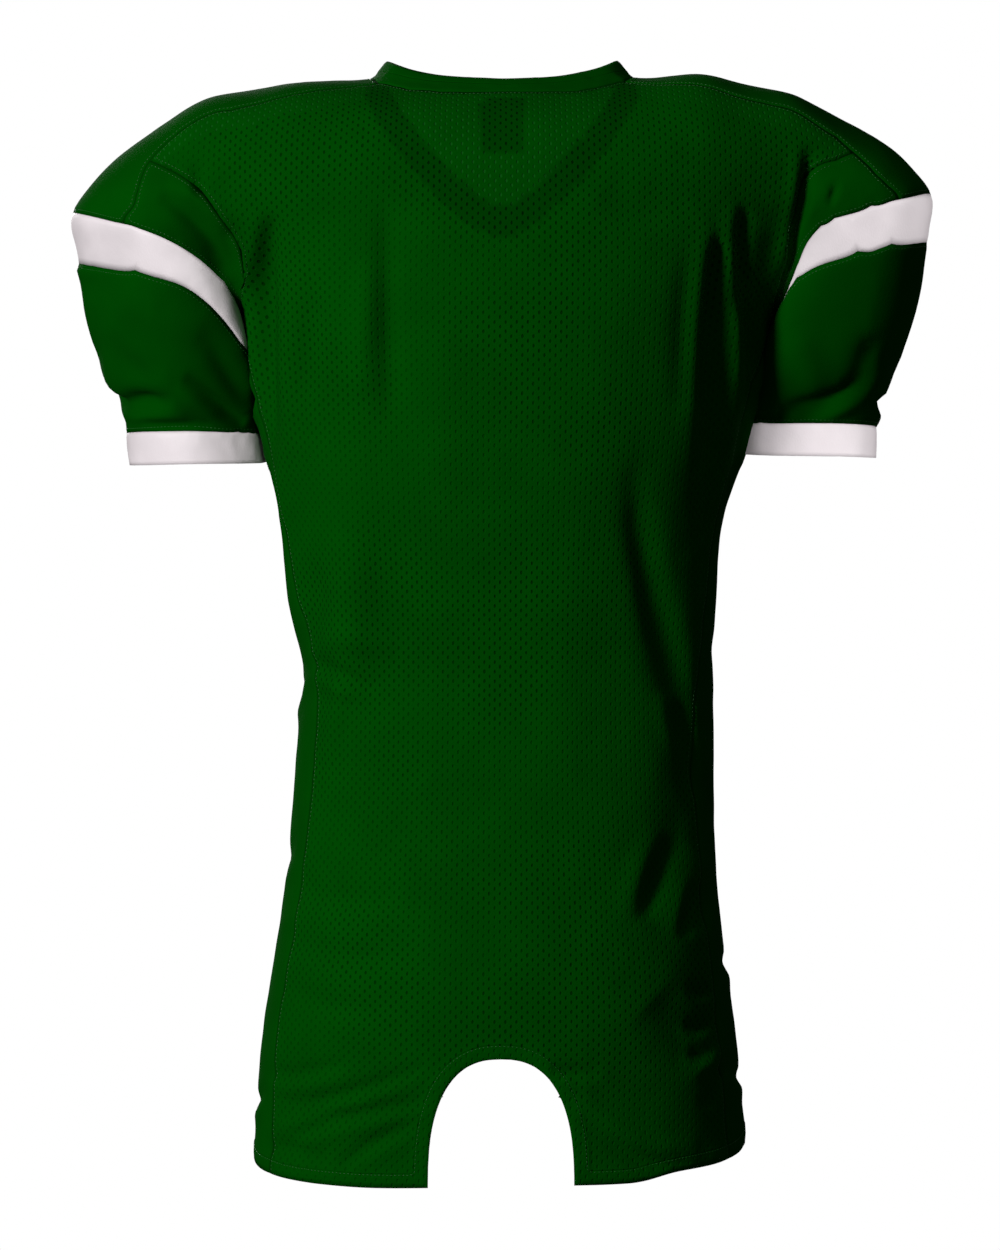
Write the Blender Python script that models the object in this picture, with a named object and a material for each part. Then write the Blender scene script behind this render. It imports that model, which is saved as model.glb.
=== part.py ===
"""Football jersey, filled out as if worn, with every cut and sewn piece as its own solid.

Metres, +Z up. The back faces +Y and the wearer's left arm is at +X. The origin lies midway between
the shoulders, at the height of the shoulder line beside the neck, where the wearer holds it up.

Each piece is a grid laid on the jersey's form and extruded inward to the cloth's thickness. Pieces that
are sewn together share the grid points of their seam. The form is worked out from the short tables
below: rings for the trunk, a shoulder line with a roll to either side, armhole seams, and rings down
each sleeve.
"""
import math

import bmesh
import bpy
import numpy as np

# Driving dimensions, in metres.
WALL = 0.0015              # cloth of the body and the sleeves
BAND_WALL = 0.0025         # neck band, two layers
LABEL_WALL = 0.0010
SEAM_GAP = 0.0003          # between sewn pieces
SLEEVE_CLEARANCE = 0.0040  # between a hanging sleeve and the trunk
ROLL_HEIGHT = 0.070        # height over which the back rolls into the shoulder
TRUNK_POWER = 2.4          # squareness of the trunk's rings
NECK_HALF_WIDTH = 0.096    # back neck, at the yoke seam
NECK_SIDE = 0.105          # the same at the top of the shoulder
NECK_FRONT = 0.106         # the same at the front yoke seam
NECK_DROP_BACK = 0.0187    # how far the back neck lies under the shoulder line
NECK_RISE_POWER = 3.5
BACK_ARCH = (0.0565, 0.0990)    # half width and height of the opening in the back hem
FRONT_ARCH = (0.0640, 0.1120)
ARCH_POWER = 2.5
ARCH_MIDDLE = 0.0008            # how far to the wearer's left the arches lie
ARCH_BASE = -0.8675             # the hem line that an arch stands on
ARCH_SIDES = 40                 # straight stretches in its outline
CUTTER_BELOW = 0.030            # the cutter's reach below the hem line
CUTTER_OUT = 0.125              # its middle, out from the jersey's middle
CUTTER_HALF = 0.060             # and half its thickness
LABEL_WIDTH = 0.031
LABEL_HEIGHT = 0.045
LABEL_TOP = -0.0250
LABEL_GAP = 0.0008         # between the back's cloth and the label
LABEL_GRID = (2, 4)        # its columns and rows
HEAD_SWELL = 0.004         # how far the sleeve's head swells to the back and front
HEM_LEVEL = -0.85          # where the side panels' share of the hem is measured
ARMPIT_EASE = 0.15         # share of the armhole over which its seam leaves the side panel
UNDERARM_OUT = 0.006       # under the arm the upper sleeve is a ribbon from the armhole to the stripe,
UNDERARM_DROP = 0.006      # this far outward and down
UNDERARM_FADE = (1.2, 2.5, 2.5)     # sleeve rings over which its pull along x, y and z dies out
FOLD_ROUND = 0.080         # depth beyond which a fold's place is measured round the side
FOLD_FADE = (-0.050, -0.020)    # depths between which the folds of the other face die out
FOLD_ENDS = 0.6            # how bluntly a fold ends
WELD = 0.00001
ROUGHNESS = 0.8

# Grid lines of the pieces. Pieces that are sewn together share theirs along the seam.
NECK_COLUMNS = {1: 7, -1: 7}    # from the middle of the back or front to the yoke
YOKE_COLUMNS = 11               # along the yoke, from the neck to its corner
YOKE_ROWS = 8                   # over the shoulder, from the back seam to the front seam
LOW_ROWS = 19                   # from the hem to the armpit
HIGH_ROWS = 10                  # from the armpit to the yoke's corner
HIGH_CROWDING = 1.4             # how much closer they lie towards the shoulder
SIDE_COLUMNS = 6
HEAD_ROWS = 5                   # from the armhole to the stripe
COLLAR_ROWS = 2

GREEN = (0.0, 0.060, 0.0008, 1.0)
DARK_GREEN = (0.0, 0.022, 0.0006, 1.0)
WHITE = (0.84, 0.76, 0.79, 1.0)


def table(columns, *rows):
    """A short table, as one array for each named column."""
    return dict(zip(columns.split(), np.array(rows).T))


# Trunk rings: half width to the wearer's left and right, and depth to the back and front.
TRUNK = table(
    "z       left    right   back    front",
    (-0.880, 0.2000, 0.1950, 0.1240, 0.1260),
    (-0.842, 0.1985, 0.1945, 0.1270, 0.1290),
    (-0.814, 0.1960, 0.1915, 0.1300, 0.1310),
    (-0.774, 0.1935, 0.1890, 0.1330, 0.1340),
    (-0.734, 0.1880, 0.1840, 0.1340, 0.1360),
    (-0.654, 0.1760, 0.1740, 0.1270, 0.1300),
    (-0.574, 0.1675, 0.1705, 0.1180, 0.1220),
    (-0.486, 0.1620, 0.1695, 0.1140, 0.1190),
    (-0.466, 0.1590, 0.1700, 0.1140, 0.1195),
    (-0.440, 0.1680, 0.1708, 0.1155, 0.1220),
    (-0.406, 0.1745, 0.1718, 0.1180, 0.1260),
    (-0.358, 0.1760, 0.1740, 0.1240, 0.1350),
    (-0.320, 0.1840, 0.1830, 0.1290, 0.1410),
    (-0.278, 0.1935, 0.1950, 0.1340, 0.1460),
    (-0.240, 0.1975, 0.2030, 0.1370, 0.1480),
    (-0.205, 0.2040, 0.2130, 0.1390, 0.1490),
    (-0.185, 0.2060, 0.2175, 0.1400, 0.1490),
    (-0.150, 0.2060, 0.2175, 0.1380, 0.1470),
    (-0.100, 0.2060, 0.2175, 0.1320, 0.1400),
    (-0.050, 0.2060, 0.2175, 0.1260, 0.1320),
    (0.020, 0.2060, 0.2175, 0.1230, 0.1270),
)

# Half the width of a side panel, front to back, at each height.
SIDE_PANEL = table(
    "z       half",
    (-0.880, 0.0620),
    (-0.700, 0.0640),
    (-0.540, 0.0640),
    (-0.400, 0.0500),
    (-0.280, 0.0400),
    (-0.185, 0.0350),
)

# Height of the hem, by how far out from the middle it lies: 0 is the middle, 1 is the side.
HEM = table(
    "out    left     right",
    (0.00, -0.8675, -0.8670),
    (0.30, -0.8690, -0.8670),
    (0.52, -0.8700, -0.8665),
    (0.70, -0.8690, -0.8590),
    (0.86, -0.8670, -0.8560),
    (0.94, -0.8640, -0.8520),
    (1.00, -0.8550, -0.8400),
)

# The shoulder line, from the neck out to the sleeve's tip.
SHOULDER_LEFT = table(
    "x      z",
    (0.000, 0.0000),
    (0.100, 0.0000),
    (0.168, -0.0012),
    (0.190, -0.0064),
    (0.237, -0.0125),
    (0.254, -0.0240),
    (0.272, -0.0362),
    (0.299, -0.0525),
    (0.325, -0.0745),
    (0.342, -0.0950),
    (0.347, -0.1040),
)
SHOULDER_RIGHT = table(
    "x      z",
    (0.000, 0.0000),
    (0.110, 0.0010),
    (0.142, 0.0045),
    (0.158, 0.0065),
    (0.178, 0.0010),
    (0.200, -0.0045),
    (0.226, -0.0072),
    (0.242, -0.0148),
    (0.271, -0.0310),
    (0.299, -0.0450),
    (0.314, -0.0540),
    (0.327, -0.0690),
    (0.340, -0.0830),
    (0.344, -0.0920),
)

# How far the yoke's seams lie under the shoulder line.
YOKE_DROP = table(
    "x      drop",
    (0.096, 0.0080),
    (0.143, 0.0150),
    (0.190, 0.0210),
    (0.240, 0.0240),
    (0.278, 0.0320),
)

# The V of the front neck seam, which ends at the yoke.
NECK_V = table(
    "x      z",
    (0.000, -0.1120),
    (0.020, -0.1040),
    (0.055, -0.0740),
    (0.085, -0.0380),
)

# Armhole seams, from the armpit up. Each ends at the corner of the yoke, whatever its height.
ARMHOLE_LEFT = table(
    "z       x       y",
    (-0.183, 0.2009, 0.0350),
    (-0.165, 0.2010, 0.0560),
    (-0.143, 0.2040, 0.0760),
    (-0.122, 0.2170, 0.0900),
    (-0.094, 0.2380, 0.0920),
    (-0.072, 0.2780, 0.0830),
)
ARMHOLE_RIGHT = table(
    "z       x       y",
    (-0.183, 0.2140, 0.0350),
    (-0.150, 0.2260, 0.0600),
    (-0.116, 0.2300, 0.0780),
    (-0.096, 0.2340, 0.0860),
    (-0.080, 0.2420, 0.0880),
    (-0.064, 0.2780, 0.0830),
)

# Rings down a sleeve. Going inward a ring drops evenly by its slant and hangs by its sag at the back
# and front. Past its turn-down, a share of the way in, it falls the rest, the later the higher its bow.
SLEEVE_COLUMNS = "outer_x outer_z inner_x inner_z mid_y half_y slant sag bow turn_down"
SLEEVE_LEFT = table(
    SLEEVE_COLUMNS,
    (0.3470, -0.1040, 0.2030, -0.2150, -0.0120, 0.1030, 0.024, 0.005, 4.0, 0.00),   # stripe, upper edge
    (0.3410, -0.1370, 0.1880, -0.2640, -0.0160, 0.0990, 0.026, 0.012, 1.0, 0.62),   # stripe, lower edge
    (0.3390, -0.1740, 0.1850, -0.2690, -0.0220, 0.0920, 0.022, 0.010, 1.2, 0.45),
    (0.3285, -0.2140, 0.1840, -0.2735, -0.0300, 0.0830, 0.014, 0.005, 1.4, 0.20),
    (0.3160, -0.2470, 0.1840, -0.2760, -0.0380, 0.0740, 0.008, 0.002, 1.4, 0.00),
    (0.3040, -0.2630, 0.1820, -0.2780, -0.0430, 0.0670, 0.004, 0.001, 1.2, 0.00),
    (0.3056, -0.2790, 0.1810, -0.2800, -0.0450, 0.0640, 0.000, 0.000, 1.0, 0.00),   # cuff, upper edge
    (0.3027, -0.3050, 0.1780, -0.3020, -0.0450, 0.0630, 0.000, 0.000, 1.0, 0.00),   # cuff, lower edge
)
SLEEVE_RIGHT = table(
    SLEEVE_COLUMNS,
    (0.3440, -0.0920, 0.2260, -0.2280, -0.0120, 0.1030, 0.032, 0.000, 1.1, 0.84),
    (0.3398, -0.1256, 0.2140, -0.2320, -0.0160, 0.0990, 0.032, 0.002, 1.1, 0.84),
    (0.3378, -0.1600, 0.2020, -0.2400, -0.0220, 0.0920, 0.027, 0.003, 1.1, 0.65),
    (0.3280, -0.1970, 0.1990, -0.2520, -0.0300, 0.0830, 0.018, 0.003, 1.2, 0.35),
    (0.3131, -0.2380, 0.1930, -0.2620, -0.0380, 0.0740, 0.010, 0.001, 1.3, 0.10),
    (0.3034, -0.2610, 0.1890, -0.2670, -0.0430, 0.0670, 0.002, 0.000, 1.2, 0.00),
    (0.3024, -0.2747, 0.1860, -0.2710, -0.0450, 0.0640, 0.000, 0.000, 1.0, 0.00),
    (0.3024, -0.2990, 0.1830, -0.2950, -0.0450, 0.0630, 0.000, 0.000, 1.0, 0.00),
)
STRIPE_TOP, STRIPE_LOW, CUFF_TOP, CUFF_LOW = 0, 1, 6, 7
# How each sleeve is set in, in degrees round it from its outer edge: where the yoke's seam meets the
# stripe, where the underarm ribbon starts and has its full share, and where the side panel's corner is.
SET_IN_LEFT = dict(seam_turn=80, ribbon_turn=130, full_turn=150, corner_turn=150, ring_power=2.0,
                   spread=1.3)
SET_IN_RIGHT = dict(seam_turn=76, ribbon_turn=112, full_turn=142, corner_turn=158, ring_power=3.0,
                    spread=1.6)
SLEEVE_BANDS = (                # node, first ring, last ring, rows
    ("sleeve_stripe", STRIPE_TOP, STRIPE_LOW, 2),
    ("lower_sleeve", STRIPE_LOW, CUFF_TOP, 7),
    ("cuff", CUFF_TOP, CUFF_LOW, 2),
)
SLEEVE_MIDDLE = (0.26, -0.02)   # a point inside the sleeve's hollow, out from the middle and back

# The free edge of the neck band, from the middle of the back (0) past the yoke (1 to 2) to the point of
# the V (3).
NECK_EDGE = table(
    "where x       y        z",
    (0.00, 0.0000, 0.0660, -0.0061),
    (0.50, 0.0440, 0.0600, -0.0030),
    (1.00, 0.0800, 0.0430, 0.0075),
    (1.50, 0.0930, 0.0000, 0.0165),
    (2.00, 0.0880, -0.0560, -0.0030),
    (2.25, 0.0690, -0.0990, -0.0280),
    (2.55, 0.0390, -0.1200, -0.0610),
    (2.85, 0.0120, -0.1290, -0.0830),
    (3.00, 0.0000, -0.1310, -0.0870),
)

# The largest folds, as soft troughs (depth below 0) and ridges. "face" is 1 on the back and -1 on the
# front; "across" is the distance out from the middle line, and grows on round the side.
FOLDS = table(
    "face  across_1  z_1     across_2  z_2     bow      width   depth",
    (1, -0.2080, -0.1150, -0.2350, -0.3600, 0.0060, 0.0170, -0.0110),
    (1, -0.1720, -0.1250, -0.1700, -0.3600, 0.0050, 0.0170, -0.0090),
    (1, 0.1880, -0.1200, 0.1930, -0.3500, -0.0060, 0.0170, -0.0080),
    (1, 0.0880, -0.0950, 0.0850, -0.3200, 0.0030, 0.0180, -0.0030),
    (1, 0.1230, -0.3000, 0.1210, -0.5600, 0.0040, 0.0200, 0.0045),
    (1, -0.1040, -0.2900, -0.1600, -0.6000, 0.0040, 0.0180, -0.0060),
    (1, -0.1450, -0.5700, -0.1050, -0.6800, 0.0040, 0.0180, -0.0045),
    (1, 0.2700, -0.4640, 0.1400, -0.4950, 0.0000, 0.0170, -0.0060),
    (1, 0.2200, -0.8400, 0.0650, -0.7800, 0.0060, 0.0150, -0.0045),
    (1, -0.0650, -0.8000, -0.2200, -0.8300, 0.0080, 0.0160, -0.0050),
    (1, -0.1500, -0.7050, -0.2300, -0.7800, -0.0060, 0.0180, -0.0050),
    (-1, 0.1850, -0.1300, 0.2000, -0.3600, 0.0050, 0.0170, -0.0100),
    (-1, -0.1900, -0.1200, -0.2000, -0.3400, 0.0050, 0.0170, -0.0090),
    (-1, 0.1150, -0.2600, 0.1450, -0.5600, -0.0060, 0.0180, -0.0050),
    (-1, -0.1200, -0.2800, -0.1400, -0.6200, 0.0060, 0.0200, 0.0045),
    (-1, -0.0750, -0.8020, -0.2150, -0.8350, -0.0060, 0.0160, -0.0050),
    (-1, 0.0750, -0.7950, 0.2150, -0.8350, 0.0060, 0.0160, -0.0045),
    (-1, 0.1500, -0.6900, 0.2300, -0.7700, 0.0060, 0.0180, -0.0050),
)


def smooth(keys, values):
    """A smooth function through the given points, which doesn't overshoot them."""
    keys = np.asarray(keys, float)
    values = np.asarray(values, float)
    steps = np.diff(keys)
    slopes = np.diff(values) / steps
    before, after = slopes[:-1], slopes[1:]
    total = np.where(before * after > 0, before + after, 1.0)
    inner = np.where(before * after > 0, 2 * before * after / total, 0.0)
    tangents = np.concatenate((slopes[:1], inner, slopes[-1:]))

    def value_at(key):
        key = np.clip(key, keys[0], keys[-1])
        i = np.clip(np.searchsorted(keys, key, side="right") - 1, 0, len(steps) - 1)
        t = (key - keys[i]) / steps[i]
        rise = values[i] + (values[i + 1] - values[i]) * t * t * (3 - 2 * t)
        lean = (1 - t) ** 2 * t * tangents[i] - (1 - t) * t * t * tangents[i + 1]
        return rise + lean * steps[i]

    return value_at


def columns_of(rows, key, *values):
    """Smooth functions of one named column for each of the others named."""
    return [smooth(rows[key], rows[value]) for value in values]


def ease(t):
    """A soft step from 0 to 1."""
    t = np.clip(t, 0.0, 1.0)
    return t * t * (3 - 2 * t)


def power(base, exponent):
    return np.power(np.clip(base, 0.0, None), exponent)


def mix(a, b, t):
    return a + (b - a) * t


class Side:
    """The wearer's left or right half: its curves as functions of height, or of the way out along x.

    Widths and places are measured out from the middle, so both halves count x as positive.
    """

    def __init__(self, name, sign, shoulder, armhole, sleeve, set_in):
        self.name = name
        self.sign = sign
        self.width = smooth(TRUNK["z"], TRUNK[name])
        self.hem = smooth(HEM["out"], HEM[name])
        self.shoulder = smooth(shoulder["x"], shoulder["z"])
        self.armpit = armhole["z"][0]
        self.wing_x = armhole["x"][-1]
        self.wing_z = self.yoke_seam(self.wing_x)
        heights = np.append(armhole["z"][:-1], self.wing_z)
        self.armhole_x = smooth(heights, armhole["x"])
        self.armhole_y = smooth(heights, armhole["y"])
        self.v_seam = smooth(np.append(NECK_V["x"], NECK_FRONT),
                             np.append(NECK_V["z"], self.yoke_seam(NECK_FRONT)))
        stations = np.arange(len(sleeve["bow"]))
        self.sleeve = {key: smooth(stations, sleeve[key]) for key in sleeve}
        self.ring_power = set_in["ring_power"]
        self.spread = set_in["spread"]
        self.seam_turn = math.radians(set_in["seam_turn"])
        self.corner_turn = math.radians(set_in["corner_turn"])
        self.ribbon_turn = math.radians(set_in["ribbon_turn"])
        self.full_turn = math.radians(set_in["full_turn"])

    def yoke_seam(self, x):
        """Height of the yoke's back and front seams."""
        return self.shoulder(x) - DROP(x)


DEPTH = {1: smooth(TRUNK["z"], TRUNK["back"]), -1: smooth(TRUNK["z"], TRUNK["front"])}
SEAM_HALF = smooth(SIDE_PANEL["z"], SIDE_PANEL["half"])
DROP = smooth(YOKE_DROP["x"], YOKE_DROP["drop"])
LEFT = Side("left", 1.0, SHOULDER_LEFT, ARMHOLE_LEFT, SLEEVE_LEFT, SET_IN_LEFT)
RIGHT = Side("right", -1.0, SHOULDER_RIGHT, ARMHOLE_RIGHT, SLEEVE_RIGHT, SET_IN_RIGHT)


def roll(below):
    """Share of the full depth that is reached so far below the shoulder line."""
    left_over = 1 - np.clip(below / ROLL_HEIGHT, 0.0, 1.0)
    return power(1 - left_over ** 2, 0.5)


def seam_angle(side, z, face):
    """Angle, from the middle of the back or front, at which a side panel's seam runs."""
    return np.arccos(power(SEAM_HALF(z) / DEPTH[face](z), TRUNK_POWER / 2))


def top_edge(side, x, face):
    """Height of a body panel's upper edge: yoke seam, then neck seam."""
    if face < 0:
        return np.where(x > NECK_FRONT, side.yoke_seam(x), side.v_seam(x))
    rise = power(np.minimum(x / NECK_HALF_WIDTH, 1.0), NECK_RISE_POWER)
    neck = mix(-NECK_DROP_BACK, side.yoke_seam(NECK_HALF_WIDTH), rise)
    return np.where(x > NECK_HALF_WIDTH, side.yoke_seam(x), neck)


def fold_height(points):
    """How far the cloth stands out of the plain form at each point, for its folds."""
    x, y, z = points[..., 0], points[..., 1], points[..., 2]
    height = np.zeros(x.shape)
    for row in zip(*FOLDS.values()):
        face, across_1, z_1, across_2, z_2, bow, width, depth = row
        round_side = np.clip(FOLD_ROUND - face * y, 0.0, None)
        across = x + np.sign(x) * round_side
        run = np.array((across_2 - across_1, z_2 - z_1))
        length = np.hypot(*run)
        along = ((across - across_1) * run[0] + (z - z_1) * run[1]) / length ** 2
        aside = ((across - across_1) * run[1] - (z - z_1) * run[0]) / length
        inside = np.clip(along, 0.0, 1.0)
        aside = aside - bow * 4 * inside * (1 - inside)
        fade = np.sin(np.pi * inside) ** FOLD_ENDS
        near = ease((face * y - FOLD_FADE[0]) / (FOLD_FADE[1] - FOLD_FADE[0]))
        height += depth * fade * near * np.exp(-(aside / width) ** 2)
    return height


def pushed_by_folds(points):
    """Trunk points moved out or in along the ring's normal by the folds."""
    width = np.where(points[..., 0] > 0, LEFT.width(points[..., 2]), RIGHT.width(points[..., 2]))
    normal = np.stack((points[..., 0] / width ** 2, points[..., 1] / DEPTH[1](points[..., 2]) ** 2,
                       np.zeros(width.shape)), axis=-1)
    normal /= np.linalg.norm(normal, axis=-1, keepdims=True)
    return points + normal * fold_height(points)[..., None]


def trunk_point(side, turn, z, face):
    """Point of the trunk's ring at an angle from the middle of the back or front."""
    x = side.sign * side.width(z) * power(np.sin(turn), 2 / TRUNK_POWER)
    y = face * DEPTH[face](z) * power(np.cos(turn), 2 / TRUNK_POWER)
    return np.stack(np.broadcast_arrays(x, y, z), axis=-1)


def armhole_seam(side, rise, face):
    """Point of the armhole seam, from the armpit (rise 0) up to the yoke's corner (rise 1)."""
    z = mix(side.armpit, side.wing_z, rise)
    corner = trunk_point(side, seam_angle(side, side.armpit, face), side.armpit, face)
    settle = ease(rise / ARMPIT_EASE)
    x = mix(np.abs(corner[..., 0]), side.armhole_x(z), settle)
    y = mix(np.abs(corner[..., 1]), side.armhole_y(z), settle)
    return x, y, z


def high_rows():
    """Heights of the upper rows, as shares of the way from the armpit (0) to the yoke (1)."""
    return 1 - power(np.linspace(1.0, 0.0, HIGH_ROWS + 1), HIGH_CROWDING)


def armhole_points(side, rise, face):
    """Points of the armhole seam, as the folds leave them."""
    x, y, z = armhole_seam(side, rise, face)
    return pushed_by_folds(np.stack((side.sign * x, face * y, z), axis=-1))


def neck_width(face):
    """Half width of the neck at the yoke's back or front seam."""
    return NECK_HALF_WIDTH if face > 0 else NECK_FRONT


def armhole_turn(side, rise, face):
    """The armhole seam's place on the rolled shoulder form, as a width and an angle."""
    x, y, z = armhole_seam(side, rise, face)
    depth = DEPTH[face](z) * roll(side.shoulder(x) - z)
    return x, np.arccos(power(y / depth, TRUNK_POWER / 2))


def panel_columns(side, face):
    """Columns of half a body panel, as shares of the way out, which meet those of neck and yoke."""
    neck = neck_width(face)
    at_neck = neck * np.sin(np.linspace(0.0, math.pi / 2, NECK_COLUMNS[face] + 1))
    at_yoke = np.linspace(neck, side.wing_x, YOKE_COLUMNS + 1)
    x_edge, turn_edge = armhole_turn(side, 1.0, face)
    reach = power(np.concatenate((at_neck, at_yoke[1:])) / x_edge, TRUNK_POWER / 2)
    return np.arcsin(np.sin(turn_edge) * np.minimum(reach, 1.0)) / turn_edge


def panel_half(side, face):
    """Half of the back or front panel, from the middle line out to the seam."""
    out = panel_columns(side, face)[None, :]
    armpit = mix((LEFT.armpit + RIGHT.armpit) / 2, side.armpit, out)
    low = np.linspace(0.0, 1.0, LOW_ROWS + 1)[:, None]
    reach = power(np.sin(out * seam_angle(side, HEM_LEVEL, face)), 2 / TRUNK_POWER)
    z = mix(side.hem(reach), armpit, low)
    lower = trunk_point(side, out * seam_angle(side, z, face), z, face)

    high = high_rows()[1:, None]
    x_edge, turn_edge = armhole_turn(side, high, face)
    turn = out * turn_edge
    x = x_edge * power(np.sin(turn) / np.sin(turn_edge), 2 / TRUNK_POWER)
    z = mix(armpit, top_edge(side, x[-1:], face), high)
    y = DEPTH[face](z) * roll(side.shoulder(x) - z) * power(np.cos(turn), 2 / TRUNK_POWER)
    upper = np.stack((side.sign * x, face * y, z), axis=-1)
    return np.concatenate((lower, upper))


def body_panel(face):
    """The whole back or front panel as a grid of points."""
    left = panel_half(LEFT, face)
    right = panel_half(RIGHT, face)
    return pushed_by_folds(np.concatenate((right[:, :0:-1], left), axis=1))


def side_panel(side):
    """The side panel, from the hem up to the armpit, and from the back seam to the front seam."""
    rise = np.linspace(0.0, 1.0, LOW_ROWS + 1)[:, None]
    across = np.linspace(-1.0, 1.0, SIDE_COLUMNS + 1)[None, :]
    grids = []
    for face in (1, -1):
        seam_reach = power(np.sin(seam_angle(side, HEM_LEVEL, face)), 2 / TRUNK_POWER)
        reach = mix(1.0, seam_reach, np.abs(across))
        z = mix(side.hem(reach), side.armpit, rise)
        turn = mix(math.pi / 2, seam_angle(side, z, face), np.abs(across))
        grids.append(trunk_point(side, turn, z, face))
    return pushed_by_folds(np.where((across < 0)[..., None], grids[0], grids[1]))


def full_width(side, face):
    """Half width of the plain form that the shoulder would have with no armhole in it."""
    x, turn = armhole_turn(side, 1.0, face)
    return x / power(np.sin(turn), 2 / TRUNK_POWER)


def shoulder_point(side, x, z, face):
    """Point on the back or front of the shoulder, by its place out from the middle and its height."""
    depth = DEPTH[face](z) * roll(side.shoulder(x) - z)
    y = face * depth * power(1 - power(x / full_width(side, face), TRUNK_POWER), 1 / TRUNK_POWER)
    return np.stack(np.broadcast_arrays(side.sign * x, y, z), axis=-1)


def yoke_form(side, out, across):
    """Points of the yoke from the neck (out 0) to its corner (1), from the back seam to the front."""
    neck = np.where(across < 0, mix(NECK_SIDE, NECK_HALF_WIDTH, -across),
                    mix(NECK_SIDE, NECK_FRONT, across))
    x = mix(neck[None, :], side.wing_x, out[:, None])
    start = np.arcsin(1 - DROP(x) / ROLL_HEIGHT)
    lift = mix(math.pi / 2, start, np.abs(across)[None, :])
    z = side.shoulder(x) - ROLL_HEIGHT * (1 - np.sin(lift))
    back = shoulder_point(side, x, z, 1)
    front = shoulder_point(side, x, z, -1)
    return np.where((across < 0)[None, :, None], back, front)


def sleeve_ring(side, station, turn):
    """Ring of a sleeve: turn 0 is its outer edge, a quarter is the back, a half is the inside."""
    row = {key: curve(station) for key, curve in side.sleeve.items()}
    half_x = (row["outer_x"] - row["inner_x"]) / 2
    square = 2 / side.ring_power
    inset = (1 - np.sign(np.cos(turn)) * power(np.abs(np.cos(turn)), square)) / 2
    x = row["outer_x"] - 2 * half_x * inset
    y = row["mid_y"] + row["half_y"] * np.sign(np.sin(turn)) * power(np.abs(np.sin(turn)), square)
    inward = np.minimum(turn, 2 * math.pi - turn) / math.pi
    fall = row["outer_z"] - row["inner_z"] - row["slant"]
    falling = power((inward - row["turn_down"]) / (1 - row["turn_down"]), row["bow"])
    z = (row["outer_z"] - row["slant"] * inset - row["sag"] * np.abs(np.sin(turn))
         - fall * falling)
    return np.stack((side.sign * x, y, z), axis=-1)


def clear_of_trunk(side, points):
    """Sleeve points moved out to hang just clear of the trunk beside them."""
    x, y, z = np.abs(points[..., 0]), points[..., 1], points[..., 2]
    depth = np.where(y > 0, DEPTH[1](z), DEPTH[-1](z))
    inside = power(1 - power(np.abs(y) / depth, TRUNK_POWER), 1 / TRUNK_POWER)
    trunk = side.width(z) * inside + SLEEVE_CLEARANCE
    moved = points.copy()
    moved[..., 0] = side.sign * np.where(z < side.armpit, np.maximum(x, trunk), x)
    return moved


def sleeve_turns(side):
    """Angles of the grid lines round a sleeve: the yoke's, the armhole's, the underarm's and back."""
    over = np.linspace(0.0, side.seam_turn, YOKE_ROWS // 2 + 1)
    behind = mix(side.corner_turn, side.seam_turn, power(high_rows()[::-1], side.spread))
    under = np.linspace(side.corner_turn, math.pi, SIDE_COLUMNS // 2 + 1)
    half = np.concatenate((over, behind[1:], under[1:]))
    return np.concatenate((half, 2 * math.pi - half[-2::-1]))


def armhole_line(side):
    """The armhole from the yoke's back corner, down and round the armpit, to its front corner."""
    rise = high_rows()[1:]
    return np.concatenate((armhole_points(side, rise[::-1], 1), side_panel(side)[-1],
                           armhole_points(side, rise, -1)))


def sleeve_line(side, station):
    """A sleeve's ring at its grid lines, drawn towards the armhole's under the arm."""
    turns = sleeve_turns(side)
    ring = sleeve_ring(side, station, turns)
    first = YOKE_ROWS // 2
    under = slice(first, len(turns) - first)
    beside = armhole_line(side) + (side.sign * UNDERARM_OUT, 0.0, -UNDERARM_DROP)
    inward = np.minimum(turns, 2 * math.pi - turns)[under]
    share = ease((inward - side.ribbon_turn) / (side.full_turn - side.ribbon_turn))
    pull = (beside - sleeve_ring(side, STRIPE_TOP, turns[under])) * share[:, None]
    ring[under] += pull * (1 - ease(station / np.array(UNDERARM_FADE)))
    return clear_of_trunk(side, ring)


def yoke(side):
    """The yoke strip, from the neck over the shoulder and the sleeve's head to the stripe."""
    across = np.linspace(-1.0, 1.0, YOKE_ROWS + 1)
    middle = YOKE_ROWS // 2
    inner = yoke_form(side, np.linspace(0.0, 1.0, YOKE_COLUMNS + 1), across)
    wing = inner[-1]
    stripe = sleeve_line(side, STRIPE_TOP)
    tip = np.concatenate((stripe[middle::-1], stripe[-2:-middle - 2:-1]))
    rows = []
    for out in np.linspace(0.0, 1.0, HEAD_ROWS + 1)[1:]:
        plain = mix(wing, tip, out)
        crest_x = mix(abs(wing[middle, 0]), abs(tip[middle, 0]), out)
        lift = side.shoulder(crest_x) - plain[middle, 2]
        plain[:, 2] += lift * (1 - ease(np.abs(across)))
        plain[:, 1] -= HEAD_SWELL * across * math.sin(math.pi * out)
        rows.append(plain)
    return np.concatenate((inner, np.array(rows)))


def upper_sleeve(side):
    """The upper sleeve, from the armhole seam to the stripe, round under the yoke."""
    armhole = armhole_line(side)
    under = slice(YOKE_ROWS // 2, -YOKE_ROWS // 2)
    turns = sleeve_turns(side)[under]
    tip = sleeve_line(side, STRIPE_TOP)[under]
    swell = HEAD_SWELL * (math.pi - turns) / (math.pi - side.seam_turn)
    rows = []
    for out in np.linspace(0.0, 1.0, HEAD_ROWS + 1):
        plain = mix(armhole, tip, out)
        plain[:, 1] += swell * math.sin(math.pi * out)
        rows.append(plain)
    return np.array(rows)


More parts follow.
